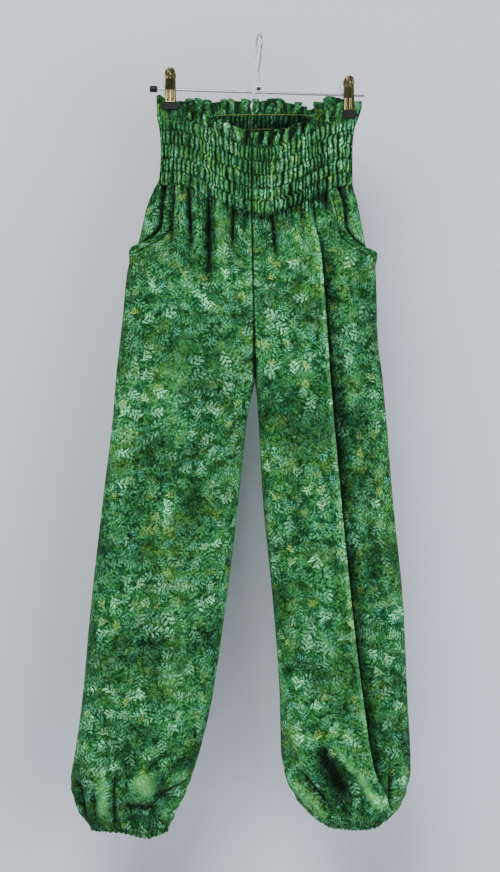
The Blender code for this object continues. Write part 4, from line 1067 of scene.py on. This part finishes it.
def clipJaw(side, outward):
    # a pressed plate: domed finger end with a dimple, two flutes down the body, edges turned in
    middle, top = hang["clips"][side], clips["top"][side]
    columns, rows = clips["jawFacets"]
    bm = bmesh.new()
    bmesh.ops.create_grid(bm, x_segments=columns, y_segments=rows, size=0.5)
    for vert in bm.verts:
        across, share = 2 * vert.co.x, 0.5 - vert.co.y
        down = clips["length"] * (share ** 1.35)
        half = np.interp(down, jawShape["down"], jawShape["half"])
        out = np.interp(down, jawShape["down"], jawShape["out"]) + clips["plate"]
        turnedIn = jawShape["turnedIn"] * max(0.0, (abs(across) - 0.78) / 0.22) ** 2 * min(1, down / 4)
        rib = math.exp(-((abs(across) - 0.38) / 0.17) ** 4)
        rise = min(1.0, max(0.0, (down - 13.4) / 1.6)) * min(1.0, max(0.0, (45.5 - down) / 2.0))
        dome = jawShape["dome"] * math.sqrt(max(0.0, 1 - across ** 2 - ((down - 6.2) / 7.0) ** 2))
        dimple = jawShape["dimple"] * math.exp(-((across * half) / 2.7) ** 2 - ((down - 6.6) / 2.6) ** 2)
        waistLine = jawShape["waistLine"] * math.exp(-((down - 12.6) / 0.9) ** 2)
        depth = out - turnedIn + jawShape["flute"] * rib * rise + dome - dimple - waistLine
        vert.co = ((middle + across * half) * mm, outward * depth * mm, (top - down) * mm)
    bmesh.ops.recalc_face_normals(bm, faces=bm.faces)
    for face in bm.faces:
        if face.normal.y * outward < 0:
            face.normal_flip()
    piece = meshPiece(clipName(side, outward, "Jaw"), bm, angle=60)
    thicken(piece, clips["plateDrawn"])
    return piece


def clipPad(side, outward):
    # a moulded rubber pad with rounded ends and a rim round its sunk face
    width, thick, tall = clips["pads"][side]
    middle, top = hang["clips"][side], clips["top"][side] - clips["length"]
    bm = bmesh.new()
    bmesh.ops.create_cube(bm, size=1)
    bmesh.ops.scale(bm, vec=(width * mm, thick * mm, tall * mm), verts=bm.verts)
    upright = [edge for edge in bm.edges if abs((edge.verts[0].co - edge.verts[1].co).y) > thick * mm / 2]
    bmesh.ops.bevel(bm, geom=upright, offset=3.6 * mm, segments=6, profile=0.5, affect="EDGES", material=-1)
    front = [face for face in bm.faces if face.normal.y * outward > 0.9]
    bmesh.ops.inset_region(bm, faces=front, thickness=1.1 * mm, depth=-0.35 * mm)
    rims = [edge for edge in bm.edges if edge.is_manifold and edge.calc_face_angle(0) > 0.7]
    bmesh.ops.bevel(bm, geom=rims, offset=0.5 * mm, segments=3, profile=0.5, affect="EDGES", material=-1)
    tilt = Matrix.Rotation(math.radians(clips["tilt"][side]), 4, "Y")
    centre = Vector((middle, outward * (clips["padFace"] + thick / 2), top - tall / 2)) * mm
    bmesh.ops.transform(bm, matrix=Matrix.Translation(centre) @ tilt, verts=bm.verts)
    return meshPiece(clipName(side, outward, "Pad"), bm, angle=50)


def clipSpring(side):
    # the wire spring: an ear outside the jaws, and its coil between them
    middle, top, ear = hang["clips"][side], clips["top"][side], clips["ear"][side]
    edge = middle - 7.8
    loop = [(edge + 4, -2.6, top - 7), (edge + 0.5, -2.6, top - 6.2), (edge - ear + 1.4, -2.6, top - 7.6),
            (edge - ear, -2.6, top - 11), (edge - ear + 0.8, -2.6, top - 16), (edge - 1.6, -2.6, top - 23),
            (edge + 0.6, -2.6, top - 26.5), (edge + 4, -2.6, top - 28)]
    count, length, radius = clips["coil"]
    turns = np.linspace(0, 2 * math.pi * count, 150)
    along, rise = middle - 5 + length * turns / turns[-1], top - 28 + radius * np.sin(turns)
    coil = np.stack([along, radius * np.cos(turns), rise], axis=-1)
    return tubeAlong(f"clip{side.title()}Spring", [roundedRun(loop, 6), coil], clips["springWire"], 10)


metalwork = {"hook": hangerHook(), "bar": tubeAlong("trouserBar", [hanger["bar"]], hanger["barDiameter"], 24),
             "bridge": hangerBridge(), "swivel": hangerSwivel(), "endCap": barEndCap()}
for side in sides:
    for face, outward in outwards.items():
        metalwork[(side, face, "jaw")] = clipJaw(side, outward)
        metalwork[(side, face, "pad")] = clipPad(side, outward)
    metalwork[(side, "spring")] = clipSpring(side)
print("stage: hanger made")


def linearColour(code):
    # an sRGB hex colour as the linear values that Blender works in
    parts = [int(code[i:i + 2], 16) / 255 for i in (1, 3, 5)]
    return (*[part / 12.92 if part <= 0.04045 else ((part + 0.055) / 1.055) ** 2.4 for part in parts], 1.0)


def addNode(tree, kind, inputs=(), output=0, **settings):
    # one node, with its operation after its kind, and its settings; its inputs are values or other
    # nodes' outputs, by place or by name
    kind, _, operation = kind.partition(" ")
    node = tree.nodes.new("ShaderNode" + kind)
    if operation:
        node.operation = operation
    for name, value in settings.items():
        setattr(node, name, value)
    for key, value in (inputs.items() if isinstance(inputs, dict) else enumerate(inputs)):
        if isinstance(value, bpy.types.NodeSocket):
            tree.links.new(value, node.inputs[key])
        else:
            node.inputs[key].default_value = value
    return node.outputs[output]


def newFinish(name, constants):
    # a new material, the function that adds its nodes, and its shader
    finish = bpy.data.materials.new(name)
    finish.use_nodes = True
    shader = finish.node_tree.nodes["Principled BSDF"]
    for key, value in constants.items():
        shader.inputs[key].default_value = value
    return finish, partial(addNode, finish.node_tree), shader


def feed(shader, outputs):
    # joins outputs of nodes to a shader's inputs
    for name, output in outputs.items():
        shader.id_data.links.new(output, shader.inputs[name])


batik = {
    "shrink": 1.12,            # units of the print to a millimetre of cloth
    "deep": "#052A0D", "low": "#1F6A2C", "mid": "#3A9040", "high": "#58B05A",
    "deepTeal": "#0A4230", "teal": "#238264", "yellowGreen": "#5CA834", "oliveLeaf": "#96C65A",
    "brightLeaf": "#5CC67A", "mintLeaf": "#8FEFAE", "tealLeaf": "#5CC8A2",
    "rubbed": "#5FA65C", "faded": "#2B6A40",        # painted highlight on the crests, and the faded tone of the wrong side
    # soft clouds of dye: size, detail, distortion, place
    "clouds": {
        "broad": (95, 2, 0.3, (220, 60, 1)), "ground": (26, 6, 1.2, (0, 0, 5)),
        "hue": (60, 3, 0.8, (90, 20, 9)), "cool": (52, 3, 0.6, (10, 160, 2)),
        "patch": (46, 2, 0.6, (70, 310, 4)), "water": (11, 4, 1.8, (3, 4, 7)),
        "fine": (2.2, 3, 0.5, (6, 2, 8)),
    },
    # washes over the ground: tone, the cloud it follows, where it starts and is full, how strong it gets
    "washes": (
        ("low", "ground", 0.36, 0.5, 1.0), ("mid", "ground", 0.47, 0.62, 1.0),
        ("deepTeal", "cool", 0.5, 0.38, 0.6), ("teal", "cool", 0.54, 0.68, 0.6),
        ("yellowGreen", "hue", 0.5, 0.64, 0.7), ("high", "water", 0.5, 0.66, 0.9),
        ("deep", "water", 0.49, 0.34, 0.95),
    ),
    # layers of sprigs, in the order they are printed: seat spacing and how far seats stray, half-length,
    # leaflet length, width and spacing, lean, place; then the cloud they follow and how strong they get
    "layerColumns": "tone other spacing stray half leaflet girth pitch lean shift cloud start end least most",
    "layers": (
        ("mid", "teal", 19.1, 0.9, 12.2, 7.8, 3.8, 6.3, 0.75, (57, 173, 0), "patch", 0.62, 0.4, 0.1, 0.75),
        ("deep", "deepTeal", 21.8, 0.9, 12.2, 7.4, 3.5, 5.9, 0.7, (431, 11, 0), "ground",
         0.46, 0.58, 0.1, 0.85),
        ("oliveLeaf", "high", 27.0, 0.85, 10.4, 7.4, 4.0, 6.3, 0.8, (219, 389, 0), "hue",
         0.47, 0.6, 0.0, 0.75),
        ("brightLeaf", "tealLeaf", 18.3, 0.85, 11.3, 7.4, 3.7, 5.9, 0.7, (13, 251, 0), "patch",
         0.4, 0.58, 0.15, 0.95),
        ("mintLeaf", "brightLeaf", 23.5, 0.85, 13.1, 8.3, 4.0, 6.3, 0.7, (149, 71, 0), "cool",
         0.44, 0.58, 0.1, 0.95),
        ("mintLeaf", "oliveLeaf", 28.7, 0.9, 7.8, 8.3, 4.5, 6.1, 1.0, (311, 223, 0), "broad",
         0.44, 0.56, 0.1, 0.9),
    ),
}


def sprigSeats(add, cloth, look):
    # the scattered sprigs of a layer, each turned and sized by chance: how far a point lies across and
    # along its sprig, whose stem is bowed, and the sprig's own chances
    seat = add("VectorMath ADD", [cloth, look["shift"]])
    middle = add("TexVoronoi", {"Vector": seat, "Scale": 1 / look["spacing"], "Randomness": look["stray"]},
                 output="Position", voronoi_dimensions="2D")
    chance = add("SeparateColor", [middle.node.outputs["Color"]]).node.outputs
    fromMiddle = add("VectorMath SUBTRACT", [seat, middle])
    angle = add("Math MULTIPLY", [chance["Red"], 6.2832])
    turned = add("VectorRotate", {"Vector": fromMiddle, "Angle": angle}, rotation_type="Z_AXIS")
    size = add("MapRange", [chance["Green"], 0.0, 1.0, 0.8, 1.3])
    axes = add("SeparateXYZ", [add("VectorMath SCALE", {0: turned, "Scale": size})]).node.outputs
    bow = add("MapRange", [chance["Blue"], 0.0, 1.0, -0.05, 0.05])
    squared = add("Math MULTIPLY", [axes["Y"], axes["Y"]])
    across = add("Math SUBTRACT", [axes["X"], add("Math MULTIPLY", [bow, squared])])
    return across, axes["Y"], chance


def leafSprigs(add, cloth, look):
    # one layer of scattered sprigs, a stem with leaflets turn and turn about on its two sides
    across, along, chance = sprigSeats(add, cloth, look)
    offStem = add("Math ABSOLUTE", [across])
    # leaflets sweep forwards, and curve as they go
    leaned = add("Math MULTIPLY", [add("Math POWER", [offStem, 0.72]), 1.6 * look["lean"]])
    station = add("Math SUBTRACT", [along, leaned])
    otherSide = add("Math GREATER_THAN", [across, 0.0])
    shifted = add("Math ADD", [station, add("Math MULTIPLY", [otherSide, look["pitch"] / 2])])
    offLeaf = add("Math PINGPONG", [shifted, look["pitch"] / 2])
    reach = add("Math DIVIDE", [station, look["half"]])
    tapered = add("Math SUBTRACT", [1.0, add("Math MULTIPLY", [reach, reach])])
    tapered = add("Math MAXIMUM", [tapered, 0.0])
    length = add("Math MULTIPLY", [add("Math POWER", [tapered, 0.6]), look["leaflet"]])
    share = add("Math DIVIDE", [offStem, add("Math MAXIMUM", [length, 0.01])], use_clamp=True)
    plump = add("Math MULTIPLY", [share, add("Math SUBTRACT", [1.0, share])])
    girth = add("Math MULTIPLY", [add("Math POWER", [plump, 0.6]), look["girth"] * 1.15])
    inside = add("Math SUBTRACT", [girth, offLeaf])
    leaf = add("MapRange", [inside, -0.15, 0.35, 0.0, 1.0])
    rim = add("MapRange", [inside, -1.8, -0.3, 0.0, 1.0])
    nearStem = add("MapRange", [offStem, 0.25, 0.75, 0.8, 0.0])
    stem = add("Math MULTIPLY", [nearStem, add("Math GREATER_THAN", [tapered, 0.0])])
    return add("Math MAXIMUM", [leaf, stem]), rim, chance


def dyed(add, colour, tone, share):
    # a tone by name or another colour, laid over a colour
    if isinstance(tone, str):
        tone = linearColour(batik[tone])
    return add("Mix", {0: share, 6: colour, 7: tone}, output=2, data_type="RGBA")


def batikPrint(add):
    # colour of the printed cloth in millimetres of its own surface
    surface = add("UVMap", uv_map="cloth")
    cloth = add("VectorMath SCALE", {0: surface, "Scale": 1000.0 * batik["shrink"]})
    ripple = add("TexNoise", {"Vector": cloth, "Scale": 1 / 14, "Detail": 1.0}, output="Color")
    ripple = add("VectorMath SUBTRACT", [ripple, (0.5, 0.5, 0.5)])
    cloth = add("VectorMath MULTIPLY_ADD", {0: ripple, 1: (5.0, 5.0, 0.0), 2: cloth})
    clouds = {}
    for name, (size, detail, distortion, shift) in batik["clouds"].items():
        moved = add("VectorMath ADD", [cloth, shift])
        clouds[name] = add("TexNoise", {"Vector": moved, "Scale": 1 / size, "Detail": detail,
                                        "Distortion": distortion})
    colour = linearColour(batik["deep"])
    for tone, cloud, start, end, most in batik["washes"]:
        colour = dyed(add, colour, tone, add("MapRange", [clouds[cloud], start, end, 0.0, most]))
    for row in batik["layers"]:
        look = dict(zip(batik["layerColumns"].split(), row))
        mask, rim, chance = leafSprigs(add, cloth, look)
        bounds = [look[key] for key in ("start", "end", "least", "most")]
        bright = add("MapRange", [clouds[look["cloud"]], *bounds])
        some = add("MapRange", [chance["Blue"], 0.15, 0.6, 0.3, 1.0])
        watery = add("MapRange", [clouds["water"], 0.36, 0.54, 0.3, 1.0])
        strength = add("Math MULTIPLY", [bright, some])
        # the wax leaves a darker line of dye round each leaflet
        outline = add("Math MULTIPLY", [rim, strength])
        colour = dyed(add, colour, "deep", add("Math MULTIPLY", [outline, 0.74]))
        amount = add("Math MULTIPLY", [add("Math MULTIPLY", [mask, strength]), watery])
        varied = add("MapRange", [chance["Green"], 0.3, 0.8, 0.0, 1.0])
        leafTone = dyed(add, linearColour(batik[look["tone"]]), look["other"], varied)
        colour = dyed(add, colour, leafTone, amount)
    for cloud, low, high, dark, pale in (("fine", 0.32, 0.68, 0.48, 1.46), ("broad", 0.36, 0.62, 0.5, 1.24)):
        shade = add("MapRange", [clouds[cloud], low, high, dark, pale])
        colour = add("VectorMath SCALE", {0: colour, "Scale": shade})
    return colour, cloth


def printedCotton(name, wrongSide=False):
    # thin plain-woven cotton, dyed and block printed: matt, a little sheen on the fuzz, fine crinkles
    finish, add, shader = newFinish(name, {"Roughness": 0.86, "Sheen Weight": 0.03, "Sheen Roughness": 0.5,
                                           "Specular IOR Level": 0.12})
    colour, cloth = batikPrint(add)
    hollow = add("Attribute", attribute_name="hollow", output=2)
    if wrongSide:
        # the print shows through paler and flatter; painted shade behind the gathers' crests and painted
        # highlight behind their hollows
        paintedShading = add("MapRange", [hollow, 0.08, 0.6, 0.02, 1.5])
        colour = dyed(add, add("VectorMath SCALE", {0: colour, "Scale": paintedShading}), "faded", 0.25)
        # painted shade, deepening downwards inside the waist, where little light reaches
        height = add("SeparateXYZ", [add("TexCoord", output="Object")], output="Z")
        paintedShading = add("MapRange", [height, -0.098, -0.13, 0.72, 0.2])
    else:
        # painted shade in the hollows of the gathers and folds, a paler painted highlight on the crests
        colour = dyed(add, colour, "rubbed", add("MapRange", [hollow, -0.2, -1.0, 0.0, 0.5]))
        paintedShading = add("MapRange", [hollow, -1.0, 0.82, 2.3, 0.08])
    colour = add("VectorMath SCALE", {0: colour, "Scale": paintedShading})
    # thread spacing is about 0.35 mm; drawn at 0.8 mm so that it shows
    axes = add("SeparateXYZ", [cloth]).node.outputs
    warp, weft = (add("Math SINE", [add("Math MULTIPLY", [axes[axis], 7.0])]) for axis in "XY")
    weave = add("Math MULTIPLY", [warp, weft])
    crinkle = add("TexNoise", {"Vector": cloth, "Scale": 1 / 5.5, "Detail": 3.0, "Roughness": 0.55})
    bump = add("Bump", {"Strength": 0.5, "Distance": 0.0008, "Height": crinkle})
    bump = add("Bump", {"Strength": 0.22, "Distance": 0.0002, "Height": weave, "Normal": bump})
    feed(shader, {"Base Color": colour, "Normal": bump})
    return finish


# Two tones, size and detail of the noise between them, its share of each tone, roughness from least to
# most, and the grain: its size each way and the strength and depth of its relief
finishes = {
    # pressed steel, brass plated and darkened: bright on the crests, brown where the tarnish stays
    "antique brass plate": dict(
        tones=("#7F7850", "#5A553A"), spots=(45.0, 2.0), share=(0.35, 0.65), rough=(0.14, 0.24),
        grain=(1500, 1500, 1500), relief=(0.02, 0.0001), constants={"Metallic": 1.0}),
    # bright chrome on drawn wire: faint lines along it and a little haze from handling
    "chromed steel wire": dict(
        tones=("#C9CDD2", "#A6ABB1"), spots=(90.0, 3.0), share=(0.0, 1.0), rough=(0.14, 0.3),
        grain=(90, 900, 900), relief=(0.06, 0.0001), constants={"Metallic": 1.0}),
    # moulded black rubber and plastic: dark, with a fine grain from the mould and some dust
    "moulded black rubber": dict(
        tones=("#0B0C0E", "#17181B"), spots=(260.0, 4.0), share=(0.45, 0.75), rough=(0.54, 0.7),
        grain=(2400, 2400, 2400), relief=(0.25, 0.0001), constants={"Specular IOR Level": 0.3}),
    "moulded black plastic": dict(
        tones=("#0D0E10", "#17181B"), spots=(260.0, 4.0), share=(0.45, 0.75), rough=(0.34, 0.5),
        grain=(1500, 1500, 1500), relief=(0.25, 0.0001), constants={"Specular IOR Level": 0.3}),
    # spun thread: two tones where its strands turn over each other, matt
    "covered shirring elastic": dict(
        tones=("#A8A25A", "#5F6A36"), spots=(900.0, 2.0), share=(0.4, 0.6), rough=(0.8, 0.8),
        grain=(900, 900, 900), relief=(0.4, 0.0002), constants={}),
    "green sewing thread": dict(
        tones=("#4F8A55", "#1F4A2B"), spots=(1400.0, 2.0), share=(0.4, 0.6), rough=(0.8, 0.8),
        grain=(1400, 1400, 1400), relief=(0.4, 0.0002), constants={}),
}


def plainFinish(name):
    look = finishes[name]
    finish, add, shader = newFinish(name, look["constants"])
    place = add("TexCoord", output="Object")
    size, detail = look["spots"]
    spots = add("TexNoise", {"Vector": place, "Scale": size, "Detail": detail})
    share = add("MapRange", [spots, *look["share"], 0.0, 1.0])
    light, dark = (linearColour(tone) for tone in look["tones"])
    grained = add("Mapping", {"Vector": place, "Scale": look["grain"]})
    grain = add("TexNoise", {"Vector": grained, "Scale": 1.0, "Detail": 2.0})
    strength, depth = look["relief"]
    feed(shader, {"Base Color": dyed(add, light, dark, share),
                  "Roughness": add("MapRange", [spots, 0.3, 0.7, *look["rough"]]),
                  "Normal": add("Bump", {"Strength": strength, "Distance": depth, "Height": grain})})
    return finish


cotton = [printedCotton("printed batik cotton"), printedCotton("printed batik cotton, wrong side", True)]
brass, chrome, rubber, plastic, elastic, thread = [plainFinish(name) for name in finishes]
print("stage: finishes made")


# Names of the model's parts that each kind of cloth piece takes the place of
nodeNames = {"smocked": "smocked", "leg": "leg", "casing": "ankle_casing", "facing": "pocket_facing",
             "band": "pocket_band"}

for (kind, *faces, side), piece in panels.items():
    piece.data.materials.append(cotton[0])
    if kind != "band":
        piece.data.materials.append(cotton[1])
        piece.modifiers["thickness"].material_offset = 1
    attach(piece, "root")
    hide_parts("_".join([nodeNames[kind], *faces, side]))
    if kind == "smocked":
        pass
    elif kind == "leg":
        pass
    else:
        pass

dressed = [(metalwork[part], slot, finish, [node]) for part, slot, finish, node in (
    ("hook", "chrome", chrome, "hanger_hook"), ("bar", "chrome", chrome, "hanger_bar"),
    ("bridge", "chrome", chrome, "hanger_bridge"), ("swivel", "black_plastic", plastic, "hanger_swivel"),
    ("endCap", "black_plastic", plastic, "hanger_end_cap"))]
for part, slot, finish in (("jaw", "antique_brass", brass), ("pad", "black_rubber", rubber)):
    dressed += [(metalwork[(side, face, part)], slot, finish, [f"clip_{side}_{face}_{part}"])
                for side in sides for face in outwards]
dressed += [(metalwork[(side, "spring")], "chrome", chrome, [f"clip_{side}_spring"]) for side in sides]
dressed += [(threads[face], "printed_cotton", elastic, []) for face in outwards]
dressed += [(stitches[side], "printed_cotton", thread, []) for side in sides]
for piece, slot, finish, nodes in dressed:
    piece.data.materials.append(finish)
    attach(piece, "root")
    if nodes:
        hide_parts(*nodes)
print("stage: frame dressed")


studio = {
    "wall": 170.0,             # behind the pants
    "top": 1600.0,
    "floor": -1330.0,
    "cove": 260.0,
    "halfWidth": 2600.0,
    "front": 2600.0,
    "tones": ("#F2F4FB", "#E8EAF2"),
    "key": dict(place=(-550, -1600, 750), size=(1400, 1100), power=35.0, tint="#FFFFFF"),
    "fill": dict(place=(1200, -1600, -900), size=(1500, 1400), power=24.5, tint="#F2F6FF"),
    "back": dict(place=(300, 1500, 600), size=(1200, 1200), power=22.0, tint="#FFFFFF"),
    "aim": (0, 0, -600),       # where all lamps point
    "world": ("#DDE0E6", 0.31),
}


def backdrop():
    # a paper sweep: wall, cove and floor in one
    wall, floor, cove, half = studio["wall"], studio["floor"], studio["cove"], studio["halfWidth"]
    profile = [(wall, studio["top"]), (wall, floor + cove)]
    for degrees in range(0, 91, 6):
        turn = math.radians(degrees)
        profile.append((wall - cove + cove * math.cos(turn), floor + cove - cove * math.sin(turn)))
    profile.append((-studio["front"], floor))
    bm = sweptLine([(-half, y, z) for y, z in profile], (2 * half, 0, 0))
    for face in bm.faces:
        if face.normal.y > 0 or face.normal.z < -0.5:
            face.normal_flip()
    piece = meshPiece("paperSweep", bm, angle=60)
    finish, add, shader = newFinish("pale backdrop paper", {"Roughness": 0.95})
    fibres = add("TexNoise", {"Vector": add("TexCoord", output="Object"), "Scale": 400.0, "Detail": 3.0})
    light, dark = (linearColour(tone) for tone in studio["tones"])
    feed(shader, {"Base Color": dyed(add, light, dark, fibres)})
    # the sweep can be seen through from behind, so that it never hides the object
    behind = add("NewGeometry", output="Backfacing")
    seen = add("MixShader", [behind, shader.outputs[0], add("BsdfTransparent")])
    feed(finish.node_tree.nodes["Material Output"], {"Surface": seen})
    piece.data.materials.append(finish)


def softLight(name, look):
    light = bpy.data.lights.new(name, "AREA")
    light.shape = "RECTANGLE"
    light.size, light.size_y = (part * mm for part in look["size"])
    light.energy = look["power"]
    light.color = linearColour(look["tint"])[:3]
    place = Vector(look["place"]) * mm
    aim = (Vector(studio["aim"]) * mm - place).to_track_quat("-Z", "Y").to_matrix().to_4x4()
    linked(name, light).matrix_world = Matrix.Translation(place) @ aim


backdrop()
for name in ("key", "fill", "back"):
    softLight(name + "Light", studio[name])
world = bpy.data.worlds.new("studio")
world.use_nodes = True
tint, strength = studio["world"]
background = world.node_tree.nodes["Background"].inputs
background["Color"].default_value = linearColour(tint)
background["Strength"].default_value = strength
bpy.context.scene.world = world

view = {"x": -12.6, "z": -560.7, "distance": 1800.0, "tall": 1220.8, "film": 36.0}
camera = bpy.data.cameras.new("camera")
camera.sensor_width = view["film"]
camera.lens = view["film"] * view["distance"] / view["tall"]
camera.clip_end = 20.0
eye = linked("camera", camera)
eye.matrix_world = (Matrix.Translation(Vector((view["x"], -view["distance"], view["z"])) * mm)
                    @ Matrix.Rotation(math.radians(90), 4, "X"))
bpy.context.scene.camera = eye
print("stage: studio set")
